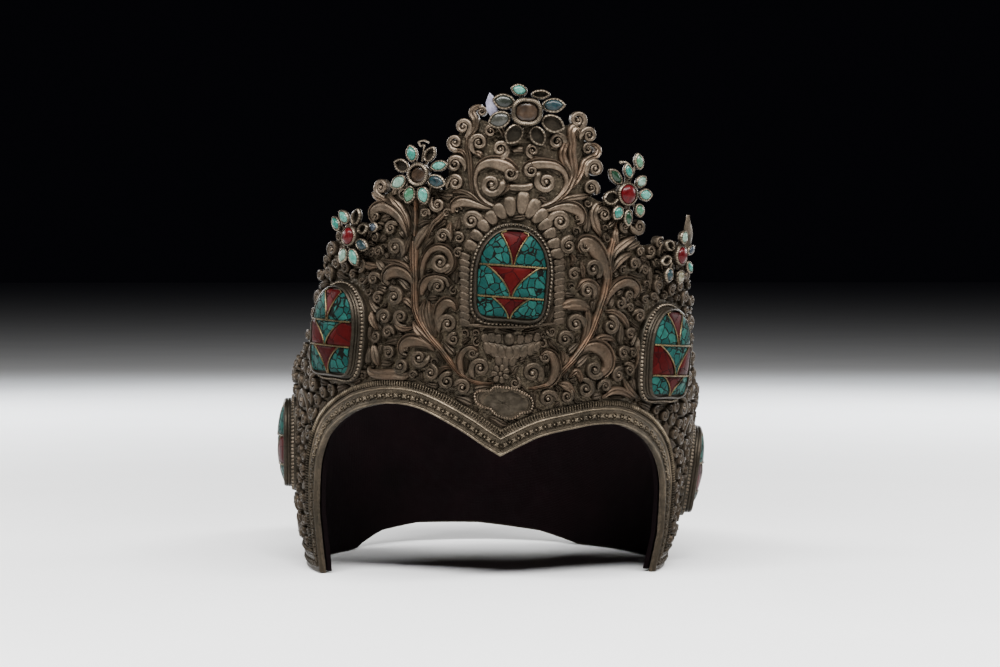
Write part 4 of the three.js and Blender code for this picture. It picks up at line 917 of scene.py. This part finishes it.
def cloth(name, tones, gaps):
    """Napped cloth with a weave of two threads."""
    paint = Paint(name)
    weave = []
    for turn in (0.0, math.pi / 2):
        run = paint.node("Mapping", {"Vector": paint.place, "Rotation": (0, turn, 0.3)}).outputs["Vector"]
        wave = paint.node("TexWave", {"Vector": run, "Scale": 420, "Distortion": 2.5, "Detail": 2.0})
        weave.append(wave.outputs["Fac"])
    threads = paint.maths("MULTIPLY", paint.maths("MAXIMUM", *weave), 0.5)
    fade = paint.ramp(paint.noise(45, 5), *zip((0.3, 0.6, 0.8), tones))
    return paint.finish({"Base Color": paint.mix(threads, fade, gaps),
                         "Roughness": paint.ramp(paint.noise(300, 3), (0.3, 0.82), (0.7, 0.98)),
                         "Specular IOR Level": 0.05},
                        paint.maths("ADD", threads, paint.noise(700, 4)), 0.5, 0.0006)


BROWN = (1.0, 0.93, 0.80)
STAIN = (0.016, 0.0135, 0.009)
COPPER = (0.15, 0.080, 0.046)
VEIN = (0.03, 0.02, 0.015)
# Metals: dark, middle and light. Stones: three tones, roughness, veins, gloss. Glass: three tones, roughness.
SILVER = metal("tarnished_silver", (0.038, 0.029, 0.018), (0.104, 0.078, 0.055), (0.120, 0.092, 0.067))
PLATE = metal("dark_ground", (0.046, 0.035, 0.022), (0.075, 0.057, 0.040), (0.16, 0.128, 0.096), stipple=1.6)
BEZEL = metal("bezel_silver", (0.013, 0.010, 0.006), (0.066, 0.051, 0.036), (0.19, 0.155, 0.115))
RIM = metal("rim_silver", (0.030, 0.023, 0.014), (0.096, 0.075, 0.051), (0.175, 0.142, 0.101))
GILT = metal("gilt_wire", (0.018, 0.012, 0.005), (0.045, 0.031, 0.013), (0.085, 0.062, 0.029))
TURQUOISE = chips("turquoise_chips", [(0.0042, 0.027, 0.024), (0.0054, 0.038, 0.033), (0.011, 0.058, 0.048)],
                  (0.0026, 0.0026, 0.0020), 250, 0.058)
CORAL = chips("coral_chips", [(0.017, 0.0012, 0.0014), (0.026, 0.0017, 0.0019), (0.040, 0.0030, 0.0029)],
              (0.007, 0.0006, 0.0008), 150, 0.022)
STONE_LOOK = {
    "turquoise": ([(0.005, 0.050, 0.040), (0.011, 0.088, 0.068), (0.027, 0.14, 0.11)], 0.26, 0.6, 0.08),
    "pale": ([(0.016, 0.085, 0.065), (0.037, 0.14, 0.11), (0.075, 0.21, 0.165)], 0.26, 0.5, 0.08),
    "green": ([(0.012, 0.05, 0.026), (0.026, 0.085, 0.046), (0.055, 0.14, 0.082)], 0.25, 0.4),
    "blue": ([(0.002, 0.007, 0.009), (0.004, 0.013, 0.016), (0.011, 0.030, 0.033)], 0.26, 0.6, 0.06),
    "white": ([(0.045, 0.095, 0.070), (0.088, 0.145, 0.112), (0.15, 0.21, 0.17)], 0.26, 0.3, 0.08),
    "cream": ([(0.060, 0.056, 0.034), (0.10, 0.092, 0.061), (0.155, 0.143, 0.10)], 0.28, 0.3, 0.08),
    "slate": ([(0.010, 0.014, 0.019), (0.019, 0.025, 0.033), (0.036, 0.045, 0.056)], 0.28, 0.3, 0.06),
}
GLASS_LOOK = {
    "dark": ([(0.003, 0.010, 0.005), (0.006, 0.020, 0.010), (0.014, 0.04, 0.022)], 0.1),
    "glass": ([(0.005, 0.006, 0.0045), (0.011, 0.013, 0.010), (0.030, 0.032, 0.026)], 0.16),
    "clear": ([(0.010, 0.010, 0.008), (0.022, 0.022, 0.018), (0.065, 0.063, 0.053)], 0.16),
}
PETAL_STONES = {kind: stone("petal_" + kind, *look) for kind, look in STONE_LOOK.items()}
PETAL_STONES.update((kind, glass("petal_" + kind, *look)) for kind, look in GLASS_LOOK.items())
GEM_STONES = {
    "coral": stone("coral_bead", [(0.024, 0.0010, 0.0016), (0.040, 0.0016, 0.0024), (0.062, 0.003, 0.004)],
                   0.28, gloss=0.05),
    "crystal": glass("smoky_crystal", [(0.010, 0.0065, 0.0042), (0.024, 0.015, 0.0095),
                                       (0.058, 0.039, 0.026)], 0.2),
}
SPLINTER = glass("lilac_splinter", [(0.085, 0.080, 0.115), (0.14, 0.132, 0.18), (0.23, 0.22, 0.275)], 0.2)
PITCH = stone("dull_backing", [(0.010, 0.008, 0.0056), (0.021, 0.017, 0.012),
                               (0.038, 0.031, 0.023)], 0.6, gloss=0.01)
# Maroon cloth, its tones darkened near to black as painted shade inside the crown.
SHADED_CLOTH = cloth("maroon_cloth_painted_shade", [(0.0014, 0.0004, 0.0006), (0.0026, 0.0007, 0.0011), (0.0045, 0.0013, 0.0019)],
              (0.0010, 0.0003, 0.0005))


# Wall: a thin hammered plate between its two edges
def build_plate():
    arcs = ring_arcs(2.0, TOP_ARC)
    low = low_edge(arcs, 0.25)
    high = np.min([top_edge(arcs + step) for step in np.linspace(-2.2, 2.2, 7)], axis=0) - 0.8
    heights = low[:, None] + (high - low)[:, None] * np.linspace(0, 1, 56)
    arcs = arcs[:, None]
    ripple = 0.12 * np.sin(arcs * 0.9 + 1.3 * np.sin(heights * 0.31)) * np.sin(heights * 0.83)
    outer = on_wall(arcs, heights, ripple)
    inner = on_wall(arcs, heights, ripple - WALL_THICK)[:, ::-1]
    # Painted shade: the outer face takes the darkest tone in the ground between the raised work, a little
    # lighter at the crest as painted light; the inner face a middle tone.
    ground = np.interp(heights, [168, 186], [0.0, 0.08])
    heap = Heap()
    heap.loft(np.concatenate((outer, inner), axis=1),
              np.concatenate((ground, np.full(heights.shape, 0.42)), axis=1), closed=True)
    heap.piece("wall_plate", PLATE, "silvered_metal", "crown_shell")


# Rim: a moulding along the whole lower edge, with a row of beads and a band of foliage
RIM_ARCS = ring_arcs(RIM_STEP, LOW_ARC)
RIM_LINE = even_path(np.stack((RIM_ARCS, low_edge(RIM_ARCS)), axis=1), RIM_STEP)


def inside_line(distance):
    """The rim's line moved in from the edge; where it would cross itself it stays on the corner."""
    span = np.array([2 * HALF_TURN, 0])
    wide = np.vstack((RIM_LINE[-RIM_LAP:] - span, RIM_LINE, RIM_LINE[:RIM_LAP] + span))
    moved = wide + distance * beside(wide)
    nearest = np.sqrt(((moved[:, None, :] - wide[None, :, :]) ** 2).sum(axis=2)).min(axis=1)
    good = nearest > 0.985 * distance - 0.02
    kept = np.flatnonzero(good)
    index = np.arange(len(wide))
    ahead = kept[np.minimum(np.searchsorted(kept, index), len(kept) - 1)]
    behind = kept[np.maximum(np.searchsorted(kept, index, side="right") - 1, 0)]
    meet = 0.5 * (moved[ahead] + moved[behind])
    return np.where(good[:, None], moved, meet)[RIM_LAP:-RIM_LAP]


def along_rim(distance, step):
    """Places inside the rim's edge, as rows of arc, height and slope in degrees."""
    line = even_path(inside_line(distance), step)
    along, up = np.gradient(line, axis=0).T
    return np.column_stack((line, np.degrees(np.arctan2(up, along))))


def build_rim():
    heap = Heap()
    lines = {depth: inside_line(depth) if depth else RIM_LINE for depth, _ in RIM_SECTION}
    sections = np.stack([on_wall(*lines[depth].T, out) for depth, out in RIM_SECTION], axis=1)
    shade = np.array([0.30 if out < 1.2 else 0.12 + 0.36 * out for _, out in RIM_SECTION])
    # Painted light and polish: brighter and glossier over the brow, darker and duller down the sides.
    heap.loft(sections, shade, closed=True, light_and_polish=np.interp(sections[..., 2], [28, 64], [0.15, 1.0]))
    # Grains above that height are painted bright as light.
    for arc, height, turn in along_rim(9.5, 1.3):
        dome(heap, arc, height, 0.46, 1.5, 1.45, turn, sides=6, rings=2, base=1.0, highlight_and_polish=height > LIT_RIM_HEIGHT)
    for i, (arc, height, turn) in enumerate(along_rim(3.9, 2.2)):
        look = {"sides": 6, "base": 1.1, "highlight_and_polish": height > LIT_RIM_HEIGHT}
        if i % 2:
            for lean in (38, -38):
                dome(heap, arc, height, 1.9, 0.62, 0.85, turn + lean, rings=2, **look)
            continue
        dome(heap, arc, height, 0.65, 0.65, 1.05, rings=2, **look)
        for spoke in np.radians(turn + np.arange(0, 360, 72)):
            x, y = 1.2 * math.cos(spoke), 1.2 * math.sin(spoke)
            dome(heap, arc + x, height + y, 0.58, 0.58, 0.85, rings=1, **look)
    heap.piece("brow_rim_worked", RIM, "silvered_metal", "brow_rim")


# Scrollwork raised on the wall
def build_scrollwork():
    heap = Heap()
    for kind, ribbons in RIBBONS.items():
        for rows in ribbons:
            ribbon(heap, kind, rows)
    for arc, height, radius, *rest in CURLS:
        curl(heap, arc, height, radius * CURL_GROWTH, *rest)
    for arc, height, radius, aim, hand, tail in SIDE_CURLS:
        curl(heap, arc, height, radius, aim, hand, tail)
        curl(heap, -arc, height, radius, 180 - aim, -hand, tail)
    for arc, height, long, wide, turn in NICHE_FAN:
        lobe(heap, arc, height, long + 0.8, wide + 1.3, 2.6, turn, 0.4)
    for arc, arc_step, height, height_step, count, turn in NICHE_POSTS:
        for i in range(count):
            spot = (round(arc + i * arc_step, 1), round(height + i * height_step, 1))
            lobe(heap, *spot, *POST_HALF, 1.6, turn)
    for i in range(ROSETTE_LOBES):
        angle = i * math.pi / (ROSETTE_LOBES / 2) + 0.5
        x, y = ROSETTE_REACH * math.cos(angle), ROSETTE_REACH * math.sin(angle)
        lobe(heap, ROSETTE[0] + x, ROSETTE[1] + y, 1.7, 1.45, 2.4, math.degrees(angle), 0.4)
    dome(heap, *ROSETTE, 1.4, 1.4, 3.1)
    dome(heap, *LOTUS_EYE, 2.8, 3.1, 2.9, sides=16, rings=4, power=0.5)
    COVERED.extend([(*ROSETTE, 1.4), (*LOTUS_EYE, 0.5 * (2.8 + 3.1))])
    for arc, height, long, wide, turn in LOTUS:
        lobe(heap, arc, height, long + 0.5, wide + 0.35, 1.8, turn + 180, 0.3)
    for arc, height, long, wide, turn in LOTUS_SEPALS:
        lobe(heap, arc, height, long, wide + 0.7, 1.2, turn, 0.3)
    back_vine(heap)
    heap.piece("scrollwork", SILVER, "silvered_metal", "crown_shell")
    front, back = Heap(), Heap()
    fill_ground(front, back)
    front.piece("ground_work", SILVER, "silvered_metal", "crown_shell")
    back.piece("back_ground_work", SILVER, "silvered_metal", "crown_shell")


def vine_middle(arc):
    return 0.5 * (low_edge(arc) + RIM_DEPTH + top_edge(arc))


def vine_wave(arc):
    return np.sin((arc - HALF_TURN) * 2 * math.pi / VINE_LENGTH)


def back_vine(heap):
    """A waving stem round the back, with a volute in each bend."""
    arcs = np.arange(VINE_START, 2 * HALF_TURN - VINE_START, 2.0)
    path = np.stack((fold(arcs), vine_middle(arcs) + VINE_SWING * vine_wave(arcs)), axis=1)
    cut = np.flatnonzero(np.diff(path[:, 0]) < 0)[0] + 1
    path[cut:, 0] += 2 * HALF_TURN
    band(heap, path, 3.2, 2.7, GROOVED, wear=0.7)
    half = VINE_LENGTH / 2
    bends = np.arange(HALF_TURN - 5.25 * half, 2 * HALF_TURN - VINE_START - 2, half)
    for bend in bends[bends > VINE_START + 6]:
        if vine_wave(bend) > 0:
            offset, aim, hand = -VINE_OFFSET, 150, -1
        else:
            offset, aim, hand = VINE_OFFSET, -30, 1
        curl(heap, bend, float(vine_middle(bend)) + offset, VINE_VOLUTE, aim, hand, 100)


def carve(room, arc, height, radius):
    """Takes a disc out of the clear ground."""
    reach = radius + ROOM_LIMIT
    for turn in (arc, arc - 2 * HALF_TURN, arc + 2 * HALF_TURN):
        i0, i1 = np.searchsorted(GROUND_ARCS, (turn - reach, turn + reach))
        j0, j1 = np.searchsorted(GROUND_HEIGHTS, (height - reach, height + reach))
        if i0 < i1 and j0 < j1:
            away = np.hypot(GROUND_ARCS[i0:i1, None] - turn, GROUND_HEIGHTS[j0:j1] - height) - radius
            room[i0:i1, j0:j1] = np.minimum(room[i0:i1, j0:j1], away)


def clear_ground():
    """How far each place of the ground is from what already stands on the wall."""
    arc, height = np.meshgrid(GROUND_ARCS, GROUND_HEIGHTS, indexing="ij")
    room = np.full(arc.shape, ROOM_LIMIT)
    for spot in np.arange(-HALF_TURN, HALF_TURN, 1.0):
        low, high = sorted((top_edge(spot - 1), top_edge(spot + 1)))
        for edge in (top_edge(spot), *np.arange(low, high, 1.5)):
            carve(room, spot, edge, 0.2)
    for spot, up, radius in [(*row, RIM_DEPTH) for row in RIM_LINE[::2]] + COVERED:
        carve(room, fold(spot), up, radius)
    inside = (height < top_edge(arc) - 0.3) & (height > low_edge(arc) + RIM_DEPTH)
    crest = (np.abs(arc) < 37) & (height > 176)
    room[~inside | crest] = -1
    for _, spot, up, _ in MEDALLIONS:
        x, y = fold(arc - spot), height - up
        boxy = (np.abs(x / 18.6) ** 3.2 + np.abs(y / 23.2) ** 3.2) ** (1 / 3.2)
        room = np.minimum(room, (boxy - 1) * 19)
    x, y = arc - CARTOUCHE_ARC, height - CARTOUCHE_HEIGHT
    return np.minimum(room, (np.hypot(x / 12.2, y / 6.4) - 1) * 6.4)


def clear_steps(room, i, j, turn, way):
    """How many steps from a cell stay on clear ground, one way along a direction."""
    for steps in range(8):
        a = int(round(i + way * (steps + 1) * math.cos(turn)))
        h = int(round(j + way * (steps + 1) * math.sin(turn)))
        if not (0 <= a < room.shape[0] and 0 <= h < room.shape[1]) or room[a, h] < 0.5:
            return steps
    return 8


def longest_run(room, i, j):
    """The longest clear straight run through a cell, as steps each way and its direction."""
    best = (0, 0, 0.0)
    for turn in np.radians(np.arange(0, 180, 15)):
        ahead, behind = [clear_steps(room, i, j, turn, way) for way in (1, -1)]
        if ahead + behind > best[0] + best[1]:
            best = (ahead, behind, turn)
    return best


def fill_ground(front, back):
    """Small volutes and leaves in the clear ground, the largest gaps first."""
    room = clear_ground()
    cell = GROUND_ARCS[1] - GROUND_ARCS[0]
    hand = 1
    while room.max() >= LEAF_SPACE:
        i, j = np.unravel_index(np.argmax(room), room.shape)
        space, arc, height = room[i, j], GROUND_ARCS[i], GROUND_HEIGHTS[j]
        behind_ears = abs(arc) > BACK_ARC
        heap = back if behind_ears else front
        if space > VOLUTE_SPACE:
            size = min(space * 1.02, np.interp(abs(arc), VOLUTE_ARCS, VOLUTE_SIZES))
            hand = -hand
            curl(heap, arc, height, size, RANDOM.uniform(0, 360), hand, 50, small=behind_ears)
            carve(room, arc, height, size)
            continue
        ahead, behind, turn = longest_run(room, i, j)
        along = np.array([math.cos(turn), math.sin(turn)])
        across = np.array([-along[1], along[0]]) * RANDOM.uniform(-0.5, 0.5)
        ahead = max(ahead * cell, space * 0.9)
        behind = max(behind * cell, space * 0.9)
        middle = np.array([arc, height])
        line = np.stack((middle - along * behind, middle - along * behind * 0.5 + across, middle,
                         middle + along * ahead * 0.5 - across, middle + along * ahead))
        wide = 2.0 * space * np.array([0.3, 0.8, 1.0, 0.85, 0.2])
        path = smooth_path(np.column_stack((line, wide)), 2 if behind_ears else 3)
        lift = (0.7 + 0.6 * space) * (0.4 + 0.6 * np.sin(math.pi * np.linspace(0, 1, len(path))) ** 0.5)
        band(heap, path[:, :2], np.maximum(path[:, 2], 0.5), lift, SMALL_LEAF)
        for spot, up, width in path:
            carve(room, spot, up, max(width * 0.5, 0.5))


# Medallions: a box setting, its gilt wires and its stones
RIGHT_OUTLINE = np.array(MOSAIC_OUTLINE) * MOSAIC_HALF
OUTLINE = smooth_loop(np.vstack((RIGHT_OUTLINE, RIGHT_OUTLINE[1:][::-1] * [-1, 1])), MOSAIC_STEP)


def reach_at(up):
    """Half width of a mosaic at a height in its plane."""
    right = OUTLINE[OUTLINE[:, 0] > 0.2]
    x, y = right[np.argsort(right[:, 1])].T
    return np.interp(up, y, x)


def face_height(x, y):
    """The domed face of a mosaic, falling to its border."""
    far = (np.abs(x / 15.3) ** 2.6 + np.abs(y / 19.8) ** 2.6) ** (1 / 2.6)
    return STONE_EDGE + STONE_DOME * (1 - np.clip(far, 0, 1) ** 2.4)


def mosaic_tiers(name):
    """Each tier's name, top, foot and the half width of its middle stone's mouth."""
    high, low = CROSS_WIRES.get(name, CROSS_WIRES["front"])
    half = float(MOSAIC_HALF[1])
    mouths = MOUTHS.get(name, MOUTHS["front"])
    return list(zip(("upper", "middle", "lower"), (half, high, low), (high, low, -half), mouths))


def split_at(tier, ups, gap):
    """Half width of a tier's middle stone, a tulip that tapers to its foot, a gap short of the border."""
    _, top, foot, mouth = tier
    share = np.clip((top - ups) / (top - foot), 0, 1)
    return np.minimum(0.5 + (mouth - 0.5) * (1 - share) ** 1.75, reach_at(ups) - gap)


def build_setting(piece_name, place, node):
    heap = Heap()
    ring_wall(heap, place, OUTLINE, SETTING_SECTION, 0.12)
    ring_wall(heap, place, OUTLINE, SETTING_FOOT, 0.2)
    for x, y in even_path(OUTLINE - BEAD_OUT * beside(OUTLINE, closed=True), BEAD_STEP, closed=True):
        pillow(heap, place, x, y, 0.8, 0.8, 1.0, 2.7, 0.7)
    heap.loft(tiered(place, OUTLINE, [(0.99, 3.6), (0.99, BED_TOP + 0.1)]), 0.1)
    heap.piece(piece_name, BEZEL, "silvered_metal", node)


def build_wires(name, place, node):
    heap = Heap()
    for tier in mosaic_tiers(name):
        level, top, foot, _ = tier
        ups = np.linspace(min(top, 19.1), foot, 22)
        x = split_at(tier, ups, 0.2)
        for side in (1, -1):
            wire(heap, placed(place, side * x, ups, face_height(x, ups) - 0.05), 0.36)
        if level != "lower":
            x = np.linspace(-1, 1, 90) * (reach_at(foot) - 0.1)
            wire(heap, placed(place, x, foot, face_height(x, foot) - 0.05), 0.42 + 0.1 * np.sin(x * 5.2))
    heap.piece(name + "_wires", GILT, "silvered_metal", node)


def build_stone(place, near, far, ups):
    """One stone between two edges, its face domed and its border rounded down."""
    x = near[:, None] + (far - near)[:, None] * np.linspace(0, 1, STONE_COLUMNS)
    y = np.broadcast_to(ups[:, None], x.shape)
    border = np.ones(x.shape)
    border[1:-1, 1:-1] = 0
    upper = placed(place, x, y, face_height(x, y) - 0.5 * border)
    lower = placed(place, x, y, BED_TOP)
    heap = Heap()
    heap.loft(np.concatenate((upper, lower[:, ::-1]), axis=1), 1.0)
    return heap


def build_medallion(name, arc, height, fused):
    place = facing(arc, height, 0)
    node = name + ("_medallion" if fused else "_setting")
    build_setting(name + ("_box" if fused else "_setting_worked"), place, node)
    build_wires(name, place, node)
    for tier in mosaic_tiers(name):
        level, top, foot, _ = tier
        swapped = name != "front" and level == "middle"
        top_gap = 0.6 if level == "upper" else 0.35
        foot_gap = 0.6 if level == "lower" else 0.35
        ups = np.linspace(top - top_gap, foot + foot_gap, STONE_ROWS)
        split, reach = split_at(tier, ups, 0.35), reach_at(ups)
        for spot, near, far in (("centre", -split + 0.25, split - 0.25),
        ("right_stone", split + 0.25, reach - 0.1),
                                ("left_stone", -reach + 0.1, -split - 0.25)):
            rows = far - near > 0.35
            red = (spot == "centre") != swapped
            stone_name = f"{name}_{level}_{spot}"
            cut = build_stone(place, near[rows], far[rows], ups[rows])
            cut.piece(stone_name + "_cut", CORAL if red else TURQUOISE, "coral" if red else "turquoise",
                      node if fused else stone_name, sharp=40)


# Flowers: stone-set petals round a centre cup
def set_petal(heap, stones, spot, long, wide, kind):
    """A petal's collet, open or with its stone; its outer end comes to a point."""
    around = circle(36)
    x = long * np.cos(around)
    taper = np.where(x > 0, 1 - 0.55 * (x / long) ** 3, 1.0)
    shape = np.stack((x, wide * np.sin(around) * taper), axis=1)
    # Painted shade in every other notch of the lip.
    notch_shade = np.where(np.arange(len(shape)) % 2, 1.0, 0.5)[:, None]
    ring_wall(heap, spot, shape, PETAL_LIP, notch_shade * LIP_RELIEF)
    # The seat inside the collet takes the darkest tone as painted shade.
    heap.loft(tiered(spot, shape, [(0.97, 0.1), (0.97, 0.55)]), 0.05)
    if kind != "empty":
        stones.setdefault(kind, Heap()).loft(tiered(spot, shape - np.sign(shape) * 0.25, PETAL_STONE), 1.0)


def petal_seat(place, across, up, angle):
    """A petal's own flat frame, tilted and lifted a little by chance."""
    axes, middle = place
    tilt = math.radians(RANDOM.uniform(-6, 6))
    lift = RANDOM.uniform(-0.2, 0.4)
    c, s = math.cos(math.radians(angle)), math.sin(math.radians(angle))
    along = c * axes[0] + s * axes[1]
    rows = (math.cos(tilt) * along + math.sin(tilt) * axes[2], -s * axes[0] + c * axes[1],
            math.cos(tilt) * axes[2] - math.sin(tilt) * along)
    return np.stack(rows), placed(place, across, up, lift)


def build_flower(name, arc, height, cup, square, gem):
    place = facing(arc, height, FLOWER_OUT)
    heap = Heap()
    stones = {}
    for across, up, long, wide, angle, kind in PETALS[name]:
        set_petal(heap, stones, petal_seat(place, across, up, angle), long, wide, kind)
        reach = math.hypot(across, up)
        arm = np.linspace(cup - 0.8, max(reach - 0.85 * long, cup), 4)
        wire(heap, placed(place, arm * across / reach, arm * up / reach, 0.6), 0.8, 0.45)
    sides = 92 if square else 64
    around = circle(sides)
    rounding = 1 + square * 0.16 * (np.abs(np.sin(2 * around)) - 0.5)
    oval = [1 + 0.2 * square, 1 - 0.06 * square]
    ring = np.stack((np.cos(around), np.sin(around)), axis=1) * rounding[:, None] * oval
    odd = (np.arange(sides) % 2)[:, None]
    milled = ring * cup * np.where(odd, 0.97, 1.03)
    # Painted shade in every other notch of the cup's milled lip.
    notch_shade = np.where(odd, 1.0, 0.35) * CUP_RELIEF
    heap.loft(tiered(place, milled, CUPS[gem]).swapaxes(0, 1), notch_shade, closed=True)
    heap.loft(tiered(place, ring * cup, [(0.9, 0.1), (0.98, 0.5), (0.9, 2.2)]), 0.15)
    heap.loft(tiered(place, ring, [(2.2, -FLOWER_OUT - 0.4), (2.2, 0.6)]), 0.3)
    heap.piece(name + "_flower_worked", BEZEL, "silvered_metal", name + "_flower")
    for kind, stone_heap in stones.items():
        stone_heap.piece(f"{name}_petals_{kind}", PETAL_STONES[kind], "turquoise", name + "_flower")
    centre = Heap()
    centre.loft(tiered(place, ring * cup * GEM_OVAL[gem], GEMS[gem]), 1.0)
    centre.piece(name + "_flower_gem", GEM_STONES[gem], gem, name + "_flower_stone", sharp=30)


# Small things beside the flowers: a set stone, bent wires, a leaf tip and a splinter of pale stone
def build_bits():
    heap = Heap()
    stones = {}
    arc, height, long, wide = WALL_STONE
    set_petal(heap, stones, facing(arc, height, 0.8), long, wide, "slate")
    spots = {name: facing(arc, height, FLOWER_OUT) for name, arc, height, *_ in FLOWERS}
    wire(heap, placed(spots["right_inner"], *smooth_path(HOOK, 6).T), 0.42)
    pillow(heap, spots["right_inner"], *HOOK[0][:2], 0.95, 0.7, 0.9, 2.4)
    wire(heap, placed(spots["left_inner"], *smooth_path(TWIST, 6).T), 0.45)
    axis = smooth_path(TIP_AXIS, 4)
    half = np.interp(np.linspace(0, 1, len(axis)), TIP_SHARE, TIP_HALF)[:, None]
    across, front = TIP_SECTION.T
    heap.loft(placed(spots["right_outer"], axis[:, :1] + half * across, axis[:, 1:], front), 0.6)
    heap.piece("flower_bits", BEZEL, "silvered_metal")
    stones["slate"].piece("wall_stone", PETAL_STONES["slate"], "turquoise")
    middle = SHARD.mean(axis=0)
    place = (spots["top"][0], placed(spots["top"], *middle, 0))
    splinter = Heap()
    splinter.loft(tiered(place, SHARD - middle, SHARD_LEVELS), 1.0)
    splinter.piece("splinter", SPLINTER, "crystal", sharp=20)


# Cartouche: beaded wire round an empty, dented bed
def cartouche_tiers(outline, levels, dents=0.0):
    share, out = np.array(levels).T[..., None]
    x, y = outline.T
    return on_wall(CARTOUCHE_ARC + x * share, CARTOUCHE_HEIGHT + y * share, out + dents)


def build_cartouche():
    curve = smooth_loop(np.array(CARTOUCHE)[::-1], 0.25)
    swell = np.cos(circle(len(curve)) * CARTOUCHE_BEADS)
    heap = Heap()
    line = cartouche_tiers(curve, [(1.0, 1.75)])[0]
    # Painted highlight on each bead of the wire, brightest where it swells.
    wire(heap, line, 0.58 + 0.2 * swell, 0.45 + 0.4 * swell[:, None], 0.15, sides=8, closed=True)
    inner = curve[::4] * 0.94
    heap.loft(cartouche_tiers(inner, CARTOUCHE_FRAME), 0.12)
    heap.piece("cartouche_wire", SILVER, "silvered_metal", "cartouche")
    dents = RANDOM.uniform(-0.12, 0.12, (len(CARTOUCHE_BED), len(inner)))
    bed = Heap()
    bed.loft(cartouche_tiers(inner, CARTOUCHE_BED, dents), 0.3)
    bed.piece("cartouche_bed", PITCH, "silvered_metal", "cartouche")


# Lining: one strip of cloth stretched inside the wall
def build_lining():
    arcs = ring_arcs(2.5)
    low = np.maximum(low_edge(arcs, 0.0) + 1.2, floor_height(arcs) + 1.2)
    high = np.interp(np.abs(fold(arcs)), LINING_ARC, LINING_TOP)
    heights = low[:, None] + (high - low)[:, None] * np.linspace(0, 1, 40)
    arcs = arcs[:, None]
    pucker = 0.35 * np.sin(arcs * 0.37 + 0.8 * np.sin(heights * 0.11)) * np.sin(heights * 0.16 + 0.05 * arcs)
    hem = 0.5 * np.exp(-((heights - low[:, None]) / 2.2) ** 2)
    face = on_wall(arcs, heights, LINING_BACK - 0.35 + pucker * 0.6 - hem)
    back = on_wall(arcs, heights, LINING_FACE + 0.1)
    heap = Heap()
    heap.loft(np.concatenate((back, face[:, ::-1]), axis=1), 0.5, closed=True)
    lining = heap.piece("lining_cloth", SHADED_CLOTH, "cloth", "lining")


# Floor, light and camera
def area_light(name, place, size, power, target=AIM, colour=(1, 1, 1), spread=180):
    data = bpy.data.lights.new(name, "AREA")
    data.shape = "RECTANGLE"
    data.size, data.size_y = size
    data.energy = power
    data.color = colour
    data.spread = math.radians(spread)
    lamp = bpy.data.objects.new(name, data)
    bpy.context.scene.collection.objects.link(lamp)
    lamp.location = place
    x, y, z = np.array(target) - np.array(place)
    lamp.rotation_euler = (math.atan2(math.hypot(x, y), -z), 0, math.atan2(y, x) - math.pi / 2)


def build_stage():
    mesh = bpy.data.meshes.new("floor")
    corners = [(x * FLOOR_HALF, y * FLOOR_HALF, 0) for x, y in ((-1, -1), (1, -1), (1, 1), (-1, 1))]
    mesh.from_pydata(corners, [], [(0, 1, 2, 3)])
    paint = Paint("pale_floor")
    paint.feed(paint.shader.inputs["Base Color"], paint.ramp(paint.noise(6, 3), (0.3, 0.86), (0.7, 0.90)))
    paint.feed(paint.shader.inputs["Roughness"], 0.6)
    mesh.materials.append(paint.material)
    floor = bpy.data.objects.new("floor", mesh)
    bpy.context.scene.collection.objects.link(floor)
    world = bpy.data.worlds.new("studio")
    world.use_nodes = True
    world.node_tree.nodes["Background"].inputs["Color"].default_value = (0.002, 0.002, 0.003, 1)
    world.node_tree.nodes["Background"].inputs["Strength"].default_value = 1.0
    bpy.context.scene.world = world
    for row in LIGHTS:
        area_light(*row)
    area_light("behind", (0.0, 1.1, 1.1), (3.0, 0.3), 16, (0, 1.13, 0), (0.88, 0.93, 1.0), 70)
    data = bpy.data.cameras.new("camera")
    data.sensor_width = 36
    data.lens = CAMERA_LENS
    camera = bpy.data.objects.new("camera", data)
    camera.location = CAMERA_PLACE
    camera.rotation_euler = (math.radians(90 + CAMERA_TILT), 0, math.radians(CAMERA_YAW))
    bpy.context.scene.collection.objects.link(camera)
    bpy.context.scene.camera = camera


build_plate()
build_rim()
build_scrollwork()
for row in MEDALLIONS:
    build_medallion(*row)
for row in FLOWERS:
    build_flower(*row)
build_bits()
build_cartouche()
build_lining()
build_stage()
